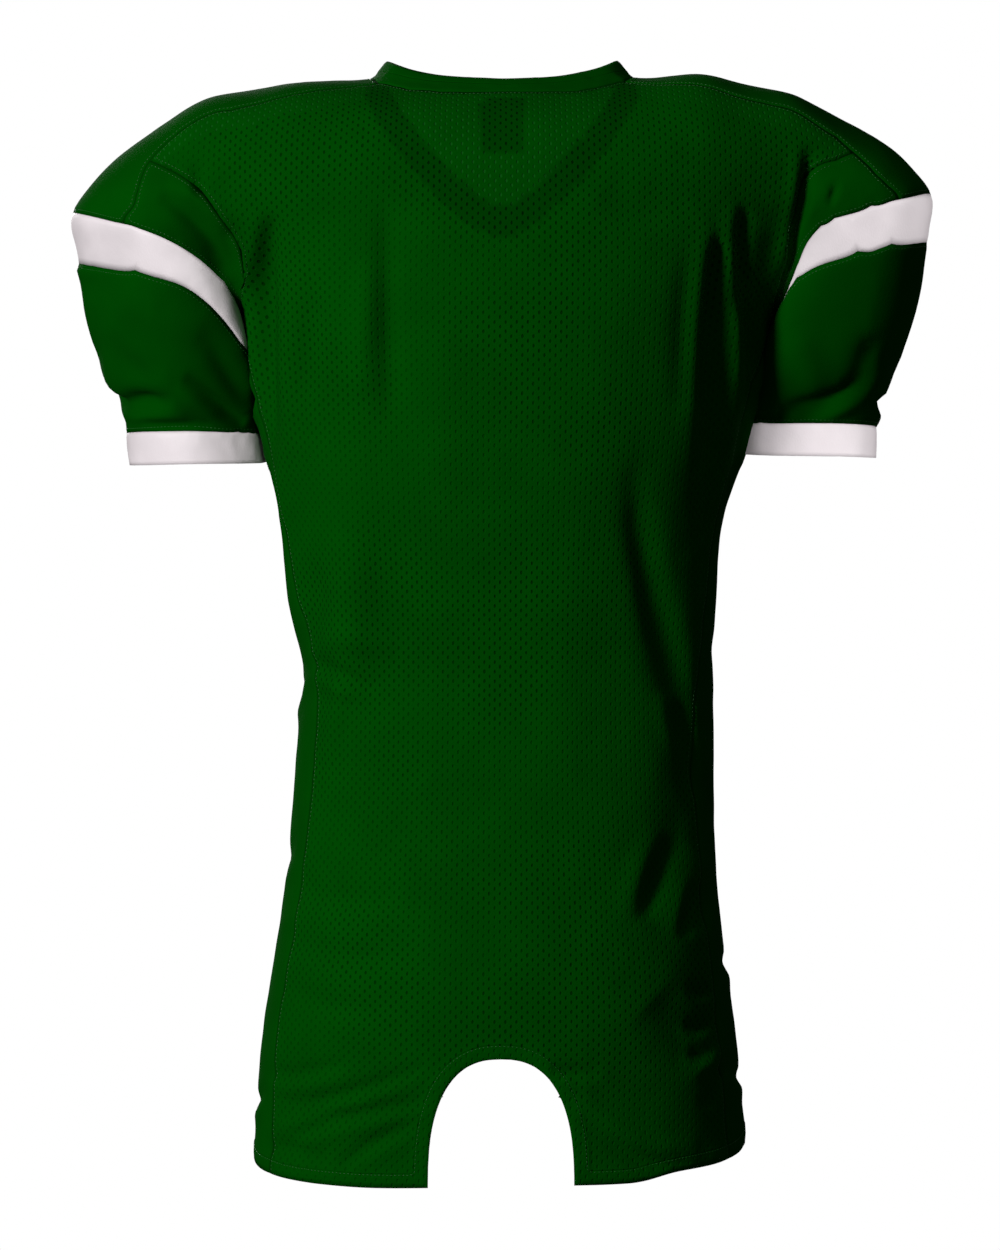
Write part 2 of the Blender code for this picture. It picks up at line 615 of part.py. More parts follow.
def sleeve_tube(side, first, last, rows):
    """A closed stretch of sleeve between two of its rings."""
    return np.array([sleeve_line(side, station) for station in np.linspace(first, last, rows + 1)])


def neck_seam(side, where):
    """Point of the neck seam: 0 is the middle of the back, 1 to 2 is the yoke, 3 the point of the V."""
    if where < 1:
        x = NECK_HALF_WIDTH * math.sin(where * math.pi / 2)
        return shoulder_point(side, x, top_edge(side, x, 1), 1)
    if where <= 2:
        return yoke_form(side, np.zeros(1), np.array([2 * where - 3]))[0, 0]
    x = NECK_FRONT * math.sin((3 - where) * math.pi / 2)
    return shoulder_point(side, x, top_edge(side, x, -1), -1)


def neck_band():
    """The neck band, all the way round from the middle of the back."""
    free = columns_of(NECK_EDGE, "where", "x", "y", "z")
    stations = np.concatenate((np.linspace(0.0, 1.0, NECK_COLUMNS[1] + 1),
                               np.linspace(1.0, 2.0, YOKE_ROWS + 1)[1:],
                               np.linspace(2.0, 3.0, NECK_COLUMNS[-1] + 1)[1:]))
    loop = [(LEFT, where) for where in stations] + [(RIGHT, where) for where in stations[-2::-1]]
    sewn = np.array([neck_seam(side, where) for side, where in loop])
    edge = np.array([(side.sign * free[0](where), free[1](where), free[2](where))
                     for side, where in loop])
    return np.array([mix(sewn, edge, part) for part in np.linspace(0.0, 1.0, COLLAR_ROWS + 1)])


def neck_label(columns, rows):
    """The blank label: the back panel's own form below the neck, moved in under its cloth."""
    x = np.linspace(-LABEL_WIDTH / 2, LABEL_WIDTH / 2, columns + 1)[None, :]
    z = np.linspace(LABEL_TOP - LABEL_HEIGHT, LABEL_TOP, rows + 1)[:, None]
    points = shoulder_point(LEFT, np.abs(x), z, 1)
    points[..., 0] = x
    points = pushed_by_folds(points)
    return points - grid_normals(points) * (WALL + LABEL_GAP)


def grid_normals(points, hollow=(0.0, 0.0)):
    """Unit normals of a grid of points, facing away from the hollow that it is round."""
    rows, columns = np.gradient(points, axis=0), np.gradient(points, axis=1)
    normals = np.cross(rows, columns)
    normals /= np.linalg.norm(normals, axis=-1, keepdims=True)
    outward = (normals[..., :2] * (points[..., :2] - hollow)).sum()
    return normals if outward > 0 else -normals


def sewn_normals(sheets):
    """Each sheet's normals. Where sheets are sewn together they share one, so their walls mitre."""
    total = {}
    places = {}
    for name, (points, normals) in sheets.items():
        places[name] = [tuple(place) for place in np.round(points.reshape(-1, 3), 6)]
        for place, normal in zip(places[name], normals.reshape(-1, 3)):
            total[place] = total.get(place, 0.0) + normal
    shared = {}
    for name in sheets:
        summed = np.array([total[place] for place in places[name]]).reshape(sheets[name][0].shape)
        shared[name] = summed / np.linalg.norm(summed, axis=-1, keepdims=True)
    return shared


def drawn_in(points, closed):
    """The same grid with its sewn edges half a seam gap shorter."""
    points = points.copy()
    for axis in (0,) if closed else (0, 1):
        points = np.moveaxis(points, axis, 0)
        for edge, inner in ((0, 1), (-1, -2)):
            step = points[inner] - points[edge]
            step /= np.linalg.norm(step, axis=-1, keepdims=True)
            points[edge] += step * SEAM_GAP / 2
        points = np.moveaxis(points, 0, axis)
    return points


def make_material(name, colour):
    material = bpy.data.materials.new(name)
    material.use_nodes = True
    shader = material.node_tree.nodes["Principled BSDF"]
    shader.inputs["Base Color"].default_value = colour
    shader.inputs["Roughness"].default_value = ROUGHNESS
    shader.inputs["Metallic"].default_value = 0.0
    return material


def make_wall(name, points, normals, colour, wall=WALL, closed=False):
    """A cloth piece: a grid laid on its points and extruded inward, each edge along its own normal."""
    outer = drawn_in(points, closed).reshape(-1, 3)
    inner = drawn_in(points - normals * wall, closed).reshape(-1, 3)
    rows, columns = points.shape[0] - 1, points.shape[1] - 1
    sheet = bmesh.new()
    bmesh.ops.create_grid(sheet, x_segments=columns, y_segments=rows, size=1.0)
    place = sheet.verts.layers.int.new("place")
    for vertex in sheet.verts:
        row = round((vertex.co.y + 1) / 2 * rows)
        column = round((vertex.co.x + 1) / 2 * columns)
        vertex[place] = row * (columns + 1) + column
        vertex.co = outer[vertex[place]]
    if closed:
        bmesh.ops.remove_doubles(sheet, verts=sheet.verts, dist=WELD)
    lining = bmesh.ops.extrude_face_region(sheet, geom=sheet.faces[:], use_keep_orig=True)
    for vertex in lining["geom"]:
        if isinstance(vertex, bmesh.types.BMVert):
            vertex.co = inner[vertex[place]]
    bmesh.ops.recalc_face_normals(sheet, faces=sheet.faces[:])
    bmesh.ops.triangulate(sheet, faces=sheet.faces[:], quad_method="SHORT_EDGE")
    mesh = bpy.data.meshes.new(name)
    sheet.to_mesh(mesh)
    sheet.free()
    mesh.shade_smooth()
    piece = bpy.data.objects.new(name, mesh)
    piece.data.materials.append(make_material(name + "_cloth", colour))
    PARTS.objects.link(piece)
    return piece


def cut_arch(panel, face, half_width, height):
    """The arch in the hem: an outline on the hem line, extruded through one panel only."""
    outline = bpy.data.curves.new(panel.name + "_arch", "CURVE")
    outline.dimensions = "2D"
    outline.fill_mode = "BOTH"
    outline.extrude = CUTTER_HALF
    spline = outline.splines.new("POLY")
    turns = np.linspace(0.0, math.pi, ARCH_SIDES + 1)
    x = np.sign(np.cos(turns)) * half_width * power(np.abs(np.cos(turns)), 2 / ARCH_POWER)
    z = height * power(np.sin(turns), 2 / ARCH_POWER)
    corners = [(half_width, -CUTTER_BELOW)] + list(zip(x, z)) + [(-half_width, -CUTTER_BELOW)]
    spline.points.add(len(corners) - 1)
    for point, (across, up) in zip(spline.points, corners):
        point.co = (across, up, 0.0, 1.0)
    spline.use_cyclic_u = True
    guide = bpy.data.objects.new(panel.name + "_guide", outline)
    CUTTERS.objects.link(guide)
    bpy.context.view_layer.update()
    graph = bpy.context.evaluated_depsgraph_get()
    mesh = bpy.data.meshes.new_from_object(guide.evaluated_get(graph))
    welded = bmesh.new()
    welded.from_mesh(mesh)
    bmesh.ops.remove_doubles(welded, verts=welded.verts, dist=WELD)
    bmesh.ops.recalc_face_normals(welded, faces=welded.faces)
    welded.to_mesh(mesh)
    welded.free()
    bpy.data.objects.remove(guide)
    cutter = bpy.data.objects.new(panel.name + "_cutter", mesh)
    cutter.rotation_euler = (math.pi / 2, 0.0, 0.0)
    cutter.location = (ARCH_MIDDLE, face * CUTTER_OUT, ARCH_BASE)
    cutter.hide_render = True
    cutter.display_type = "WIRE"
    CUTTERS.objects.link(cutter)
    cut = panel.modifiers.new("Arch", "BOOLEAN")
    cut.object = cutter
    cut.operation = "DIFFERENCE"
    cut.solver = "EXACT"


def clear_scene():
    for thing in list(bpy.data.objects):
        bpy.data.objects.remove(thing)


def new_collection(name):
    collection = bpy.data.collections.new(name)
    bpy.context.scene.collection.children.link(collection)
    return collection


def sheet_of(points, hollow=(0.0, 0.0)):
    return points, grid_normals(points, hollow)


def all_sheets():
    """Every sewn piece's grid of points with its own normals."""
    sheets = {"back_panel": sheet_of(body_panel(1)),
              "front_panel": sheet_of(body_panel(-1)),
              "collar": sheet_of(neck_band())}
    for side in (LEFT, RIGHT):
        middle = (side.sign * SLEEVE_MIDDLE[0], SLEEVE_MIDDLE[1])
        sheets["side_panel_" + side.name] = sheet_of(side_panel(side))
        sheets["yoke_" + side.name] = sheet_of(yoke(side))
        sheets["upper_sleeve_" + side.name] = sheet_of(upper_sleeve(side), middle)
        for name, first, last, rows in SLEEVE_BANDS:
            sheets[name + "_" + side.name] = sheet_of(sleeve_tube(side, first, last, rows), middle)
    return sheets


def build_sewn_pieces():
    sheets = all_sheets()
    normals = sewn_normals(sheets)
    for name, (points, _) in sheets.items():
        white = name.startswith(("sleeve_stripe", "cuff"))
        ring = white or name.startswith(("lower_sleeve", "collar"))
        make_wall(name, points, normals[name], WHITE if white else GREEN,
                  BAND_WALL if name == "collar" else WALL, ring)


clear_scene()
PARTS = new_collection("football_jersey")
CUTTERS = new_collection("cutters")
build_sewn_pieces()
cut_arch(bpy.data.objects["back_panel"], 1, *BACK_ARCH)
cut_arch(bpy.data.objects["front_panel"], -1, *FRONT_ARCH)
LABEL = neck_label(*LABEL_GRID)
make_wall("neck_label", LABEL, grid_normals(LABEL), DARK_GREEN, LABEL_WALL)
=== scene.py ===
"""Football jersey, dressed: thin cloth shells on the solids' outer form, with creases, hems and seams.

Metres, in the frame of the solids: the back faces +Y, the wearer's left arm is at +X, +Z is up.
"""
import math

import bmesh
import bpy
import numpy as np
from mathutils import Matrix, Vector, kdtree, noise
from mathutils.bvhtree import BVHTree


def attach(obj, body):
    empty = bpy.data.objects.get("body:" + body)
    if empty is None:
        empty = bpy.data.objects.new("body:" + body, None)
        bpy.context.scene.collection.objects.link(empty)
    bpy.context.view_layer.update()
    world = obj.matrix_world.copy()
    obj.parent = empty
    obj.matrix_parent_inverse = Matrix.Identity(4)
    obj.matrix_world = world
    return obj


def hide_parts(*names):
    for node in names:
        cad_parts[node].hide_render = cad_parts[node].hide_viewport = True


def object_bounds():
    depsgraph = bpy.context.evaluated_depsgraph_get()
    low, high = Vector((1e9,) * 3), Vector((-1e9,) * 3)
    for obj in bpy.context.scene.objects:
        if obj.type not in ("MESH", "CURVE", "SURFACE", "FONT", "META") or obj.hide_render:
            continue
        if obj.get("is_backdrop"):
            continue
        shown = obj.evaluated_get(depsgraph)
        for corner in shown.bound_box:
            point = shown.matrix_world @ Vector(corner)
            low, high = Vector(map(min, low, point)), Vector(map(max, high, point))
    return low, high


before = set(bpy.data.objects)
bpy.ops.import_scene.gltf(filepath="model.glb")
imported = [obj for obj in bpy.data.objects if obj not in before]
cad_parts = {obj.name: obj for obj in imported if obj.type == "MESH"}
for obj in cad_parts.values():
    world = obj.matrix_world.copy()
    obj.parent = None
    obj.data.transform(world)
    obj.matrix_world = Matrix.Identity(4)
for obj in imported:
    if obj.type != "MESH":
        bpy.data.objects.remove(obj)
CAD_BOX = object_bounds()
SCENE = bpy.context.scene

# The pieces, by the names of their nodes or by how those begin.
NAMES = sorted(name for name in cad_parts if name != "neck_label")
MESH_PIECES = ("back_panel", "front_panel")
WHITE_PIECES = ("sleeve_stripe", "cuff")
SLEEVE_PIECES = ("upper_sleeve", "sleeve_stripe", "lower_sleeve", "cuff")
FINISHED_PIECES = ("cuff", "collar")  # their free edges are hems at any height
HEMMED_PIECES = MESH_PIECES + ("side_panel",)  # stitched along their hem
TOPSTITCHED_PIECES = MESH_PIECES + ("yoke", "upper_sleeve", "lower_sleeve")

# The picture: camera place, and the height that it takes in at the jersey's middle.
CAMERA = (0.0016, 3.4, -0.4344)
PICTURE_HEIGHT = 1.0
SENSOR = 36.0

# Colours are linear.
GREEN = (0.0, 0.062, 0.0006, 1.0)
DEEP_GREEN = (0.0, 0.056, 0.0005, 1.0)
# The mesh's slits are not open. Their colours are painted shade of the jersey's dark inside, painted light
# where lit cloth is behind, painted light of the open neck, and painted shade of the neck band or the label.
SHADED_INSIDE_GREEN = (0.0, 0.028, 0.0003, 1.0)
LIT_BEHIND_GREEN = (0.0, 0.052, 0.0005, 1.0)  # painted light: a slit where the cloth behind is lit
NECK_LIGHT_GREEN = (0.004, 0.080, 0.006, 1.0)  # painted light: a slit that has the open neck behind it
BEHIND_SHADE_GREEN = (0.0, 0.016, 0.0004, 1.0)  # painted shade: a slit that has the neck band or the label behind it, which also darkens the mesh itself
THREAD_GREEN = (0.0, 0.080, 0.002, 1.0)
WHITE = (0.78, 0.715, 0.74, 1.0)
LABEL_GREEN = (0.0, 0.016, 0.0006, 1.0)

# How the solids' outer side is found and joined.
WALL = 0.0015  # the walls of the solids that the cloth follows
BAND_WALL = 0.0025
WELD = 0.00001  # nearer points of one solid are one
LINK = 0.0007  # nearer points of two sewn pieces are one
FOLD_ANGLE = math.radians(75)
RIM_WALLS = 3  # a face with no other side within so many walls is on a rim
RIM_LENGTH = 0.25  # an edge across a rim is a wall long, give or take this share of it
RIM_FACING = 0.4  # and the faces at its ends look so much along it
SCRAP = 20  # a group with so many times fewer faces than the largest is left out
SLEEVE_MIDDLE = (0.26, -0.02)  # x and y of the middle of a sleeve's hollow
YOKE_MIDDLE = -0.12  # height of the hollow's middle under the yokes
YOKE_ACROSS = 0.3  # how much a point's place across counts in the way out of that hollow
LONG_ROW = -0.182  # below this height the trunk's rows are far apart, and are halved
UPRIGHT = 0.7  # an edge is upright if so much of its length is height
STRIPE_ROUNDS = 5  # how often the stripes' seams are evened
WEAVE_STRAIGHT = 2  # how much the mesh's rows keep to the jersey's width where it looks up

# The cloth's thickness.
SHELL = 0.0011
BAND_SHELL = 0.0022  # neck band, two layers

# Creases, slack, seams and hems.
CREASE_DEPTH = 1.4  # times the heights and ridges of all the creases
CREASE_REACH = 3.5  # how far a crease reaches, in its widths
CREASE_POINTS = 13  # points along its middle
CREASE_TAPER = 0.7  # power of its taper: the less, the blunter its ends
RIDGE_AWAY = 1.5  # how far its ridge is from its middle, in its widths
RIDGE_WIDTH = 1.2
LEAST_FACING = 0.02  # a crease starts where the cloth faces its view by this much
FULL_FACING = 0.35  # and has its full height from here
FADE = 0.02  # a crease gets lower towards a free edge, on a slope this long
FADE_LEFT = 0.35  # of which this share is cut off
WHITE_FLATTER = 0.75  # how much of the creases the white pieces do without
SLACK = (  # height and size of the lumps, and their width as a share of their length
    (0.00100, 0.055, 0.55),
    (0.00035, 0.017, 1.00),
)
SEAM_DIP = 0.0005
SEAM_REACH = 0.0022
PUCKER = 0.00045  # how far the cloth ripples beside a seam or at the end of a hem
PUCKER_SIZE = 0.0075
PUCKER_SHIFT = 3.0  # takes its noise from elsewhere than the slack's
PUCKER_REACH = 0.011  # how far from a seam, and from the end of a hem
HEM_PUCKER_REACH = 0.006
EDGE_PARTS = (0.0, 0.25, 0.5, 0.75)  # the places on each edge that stand for a seam or a hem
HEM_TOP = -0.70  # the trunk's free edges are below this, and are all hemmed
HEM = 0.011  # turned hem, from its edge to the end of the fold
HEM_RISE = 0.0006
HEM_FALL = 0.003  # the step down from it
HEM_ROUND = 0.0025  # and the round at its edge
WHITE_HEM_FLATTER = 0.85
CUFF = 0.026  # a cuff's edge is higher in front and lower behind, within this length
CUFF_UP = 0.002
CUFF_DOWN = 0.003
CUFF_BEHIND = 0.024  # from here back a cuff is all the way down
CUFF_SPAN = 0.12  # and this far in front of that, all the way up

# Stitches: beads with a tip, two rings and a tip, each with its place along the bead and its fullness.
STITCH = 0.0024
STITCH_PITCH = 0.0032
STITCH_HALF = 0.00028
STITCH_RINGS = ((-0.5, 0.0), (-0.3, 1.0), (0.3, 1.0), (0.5, 0.0))
STITCH_SIDES = 4
HEM_STITCH = HEM - 0.0008  # how far from the edge
SEAM_STITCH = 0.0032  # how far from the seam

# Pin-hole mesh: columns of slits, each half a pitch lower or higher than the next.
HOLE_COLUMNS = 0.0042
HOLE_PITCH = 0.0073
HOLE_HALF = (0.00088, 0.00150)
HOLE_DEPTH = 0.00045
HOLE_LUMP = 0.0045  # size of the lumps that make the slits' outlines uneven
HOLE_UNEVEN = 0.9
HOLE_EDGE = (0.95, 1.75)  # where a slit starts to fade, and where it ends, in halves of a slit
HEM_PLAIN = 0.001  # slits fade in over this at the end of a hem
LIT_BEHIND_PATCH = 0.13  # size of the random patches of painted light from lit cloth behind, where slits are faint, and how far they spread
LIT_BEHIND_SPREAD = (0.40, 0.62)
BEHIND_SHADE_SHARE = 0.35  # how much painted shade of the neck band or the label darkens the mesh itself

# The way along which the back's mesh takes painted light from the open neck and painted shade from the neck
# band or the label behind it, and how low that reaches.
THROUGH_NECK = (0.0, -1.0, 0.096)
THROUGH_LOW = -0.16
THROUGH_FACING = 0.3  # how much the cloth there faces back, at least
THROUGH_START = 0.004  # how far behind the cloth the look starts
LABEL_NEAR = 0.03  # the label is within this of the mesh

# The surface of the cloth and of the thread. Sizes and depths are in metres.
LOOP = 0.0011  # knitted loops
LOOP_DEPTH = 0.00012
LOOP_ROUGHNESS = 0.16  # from the smoothest to the roughest place of the loops
SHADE_PATCH = 0.045  # patches of a slightly darker shade
SHADE_SPREAD = (0.3, 0.7)
DARKER = 0.90
SEAM_SHADE_REACH = 0.0014  # how far the painted shade in each seam's groove reaches, how strong and how dark it is
SEAM_SHADE_SHARE = 0.25
SEAM_SHADE_DARKER = 0.35
GROOVE = 0.0009  # half the width of the groove at the end of a turned hem
GROOVE_DEPTH = 0.00035
TWIST = 0.0006  # the thread's twist
TWIST_DEPTH = 0.0001
THREAD_ROUGHNESS = (0.35, 0.3)  # the least, and how much it changes

# The floor, far below the jersey, and the light that the backdrop gives.
FLOOR_HEIGHT = -1.9
FLOOR_RADIUS = 5.0
FLOOR_CORNERS = 64
FLOOR_SHADES = ((0.80, 0.80, 0.80, 1.0), (0.84, 0.84, 0.84, 1.0))
FLOOR_PATCH = 0.4
FLOOR_ROUGHNESS = 0.9
BACKDROP_WHITE = (1.0, 1.0, 1.0, 1.0)
BACKDROP_SEEN = 1.0  # its strength in the camera, and as a light
BACKDROP_LIGHT = 0.06

# Round soft lights: place, height on the middle line that it points at, size, power, and how the
# names of what it lights begin, where that isn't everything.
LIGHTS = {
    "floor_light": ((0.0, 0.0, 6.0), FLOOR_HEIGHT, 8.0, 3200.0, ("floor",)),
    "key": ((2.6, 2.7, 0.5), -0.40, 0.9, 132.0, ()),
    "top": ((0.3, 0.9, 2.2), -0.30, 1.2, 7.0, ()),
    "front": ((0.8, -2.8, 0.8), -0.40, 1.4, 55.0, ()),
    "white_fill": ((-2.9, 1.9, -0.2), -0.25, 1.6, 80.0, WHITE_PIECES),
    "cuff_fill": ((0.0, 3.2, -0.6), -0.35, 1.4, 20.0, ("cuff",)),
}

# Where the cloth is fuller than the solids, or flatter: a middle, a reach each way, and a height.
SWELLS = (
    ((-0.196, 0.020, -0.290), (0.030, 0.080, 0.060), 0.0065),
    ((-0.212, 0.000, -0.210), (0.026, 0.070, 0.040), 0.0035),
    ((0.196, 0.010, -0.235), (0.020, 0.060, 0.050), 0.0045),
    ((0.335, -0.020, -0.250), (0.035, 0.100, 0.070), 0.0030),
    ((-0.330, -0.020, -0.250), (0.035, 0.100, 0.070), 0.0030),
    ((0.345, -0.020, -0.112), (0.020, 0.060, 0.020), 0.0030),
    ((-0.345, -0.020, -0.100), (0.020, 0.060, 0.020), 0.0030),
    ((0.170, 0.000, -0.380), (0.030, 0.080, 0.050), -0.0020),
)

# The main creases: three points that each runs through, its width, height and ridge. A point is x and z,
# or y and z on the left and right sides. The height is below 0 for a trough, and the ridge is how far the
# cloth beside it stands up, on the side that it leans to.
BACK_CREASES = (
    (0.176, -0.116, 0.186, -0.182, 0.177, -0.298, 0.007, -0.007, 0.003),
    (0.169, -0.189, 0.170, -0.306, 0.172, -0.431, 0.008, 0.0035, 0.0),
    (0.148, -0.163, 0.150, -0.213, 0.151, -0.259, 0.009, -0.003, 0.0),
    (0.101, -0.150, 0.105, -0.205, 0.107, -0.259, 0.010, 0.0025, 0.0),
    (0.090, -0.104, 0.088, -0.189, 0.087, -0.283, 0.009, -0.003, 0.0),
    (0.118, -0.337, 0.118, -0.431, 0.121, -0.493, 0.018, 0.0035, 0.0),
    (0.122, -0.474, 0.131, -0.510, 0.140, -0.546, 0.008, 0.0025, 0.0),
    (0.151, -0.463, 0.126, -0.473, 0.097, -0.487, 0.006, -0.003, 0.002),
    (0.149, -0.452, 0.118, -0.446, 0.083, -0.455, 0.009, 0.002, 0.0),
    (0.143, -0.384, 0.148, -0.423, 0.148, -0.454, 0.010, -0.003, 0.0),
    (0.169, -0.633, 0.126, -0.648, 0.079, -0.641, 0.010, -0.002, 0.0),
    (0.173, -0.672, 0.126, -0.691, 0.064, -0.687, 0.010, -0.002, 0.0),
    (0.174, -0.714, 0.134, -0.730, 0.079, -0.726, 0.009, -0.002, 0.0),
    (0.187, -0.788, 0.157, -0.784, 0.118, -0.773, 0.005, -0.0025, 0.001),
    (0.177, -0.808, 0.134, -0.802, 0.056, -0.773, 0.005, -0.0035, 0.0015),
    (0.177, -0.821, 0.157, -0.816, 0.111, -0.810, 0.004, -0.003, 0.001),
    (0.165, -0.835, 0.126, -0.818, 0.056, -0.800, 0.005, -0.0035, 0.0015),
    (0.126, -0.855, 0.099, -0.835, 0.068, -0.820, 0.005, -0.003, 0.001),
    (0.187, -0.847, 0.165, -0.843, 0.134, -0.851, 0.006, -0.0025, 0.0),
    (0.240, -0.073, 0.237, -0.088, 0.234, -0.103, 0.004, -0.003, 0.001),
    (0.260, -0.089, 0.231, -0.108, 0.213, -0.129, 0.006, 0.0035, 0.0),
    (0.213, -0.129, 0.203, -0.152, 0.202, -0.185, 0.005, 0.0035, 0.0),
    (0.266, -0.100, 0.235, -0.126, 0.215, -0.162, 0.007, -0.004, 0.0),
    (0.251, -0.240, 0.227, -0.259, 0.205, -0.272, 0.006, -0.005, 0.002),
    (0.303, -0.249, 0.283, -0.258, 0.263, -0.263, 0.006, -0.003, 0.001),
    (0.289, -0.271, 0.266, -0.276, 0.231, -0.276, 0.005, -0.003, 0.001),
    (0.235, -0.205, 0.216, -0.236, 0.200, -0.259, 0.008, -0.003, 0.0),
    (0.317, -0.205, 0.297, -0.230, 0.274, -0.244, 0.010, -0.003, 0.0),
    (0.309, -0.174, 0.274, -0.189, 0.235, -0.205, 0.014, 0.002, 0.0),
    (-0.240, -0.060, -0.236, -0.092, -0.226, -0.156, 0.005, -0.005, 0.002),
    (-0.227, -0.122, -0.216, -0.152, -0.205, -0.175, 0.006, 0.0025, 0.0),
    (-0.172, -0.137, -0.163, -0.182, -0.158, -0.314, 0.007, -0.006, 0.003),
    (-0.191, -0.111, -0.187, -0.143, -0.194, -0.215, 0.006, -0.005, 0.002),
    (-0.181, -0.182, -0.181, -0.220, -0.181, -0.275, 0.006, 0.004, 0.0),
    (-0.200, -0.182, -0.201, -0.220, -0.198, -0.275, 0.005, 0.003, 0.0),
    (-0.146, -0.150, -0.143, -0.205, -0.142, -0.267, 0.010, -0.0025, 0.0),
    (-0.100, -0.314, -0.114, -0.399, -0.135, -0.493, 0.011, -0.0036, -0.0014),
    (-0.135, -0.493, -0.145, -0.536, -0.155, -0.570, 0.008, -0.0036, -0.0014),
    (-0.123, -0.485, -0.132, -0.520, -0.146, -0.547, 0.008, 0.002, 0.0),
    (-0.135, -0.597, -0.119, -0.633, -0.111, -0.665, 0.009, -0.004, 0.002),
    (-0.154, -0.633, -0.148, -0.656, -0.142, -0.679, 0.006, -0.004, 0.001),
    (-0.163, -0.625, -0.161, -0.652, -0.154, -0.676, 0.006, -0.003, 0.0),
    (-0.146, -0.714, -0.156, -0.721, -0.164, -0.717, 0.005, -0.003, 0.001),
    (-0.146, -0.742, -0.156, -0.748, -0.166, -0.743, 0.005, -0.003, 0.001),
    (-0.148, -0.765, -0.157, -0.771, -0.167, -0.767, 0.005, -0.003, 0.001),
    (-0.115, -0.726, -0.138, -0.749, -0.162, -0.773, 0.022, -0.004, 0.0),
    (-0.037, -0.777, -0.057, -0.779, -0.076, -0.782, 0.005, -0.0025, 0.001),
    (-0.057, -0.800, -0.107, -0.835, -0.154, -0.843, 0.008, 0.003, 0.0),
    (-0.061, -0.812, -0.107, -0.848, -0.146, -0.854, 0.006, -0.0025, 0.0),
    (-0.171, -0.792, -0.163, -0.802, -0.158, -0.812, 0.005, -0.003, 0.0),
    (-0.184, -0.773, -0.171, -0.784, -0.154, -0.792, 0.006, -0.003, 0.001),
    (-0.218, -0.263, -0.259, -0.255, -0.294, -0.236, 0.006, -0.004, 0.002),
    (-0.236, -0.270, -0.259, -0.261, -0.279, -0.247, 0.005, -0.003, 0.001),
    (-0.259, -0.088, -0.258, -0.098, -0.255, -0.108, 0.003, -0.0025, 0.0),
    (-0.294, -0.205, -0.286, -0.228, -0.271, -0.248, 0.009, -0.003, 0.0),
    (-0.232, -0.205, -0.241, -0.228, -0.255, -0.248, 0.010, 0.002, 0.0),
    (-0.076, -0.104, -0.107, -0.115, -0.146, -0.108, 0.014, -0.0015, 0.0),
    (0.048, -0.205, 0.044, -0.275, 0.048, -0.353, 0.022, 0.0015, 0.0),
    (-0.045, -0.384, -0.050, -0.477, -0.045, -0.571, 0.024, 0.0015, 0.0),
    (0.056, -0.555, 0.025, -0.571, -0.014, -0.563, 0.016, -0.0012, 0.0),
)
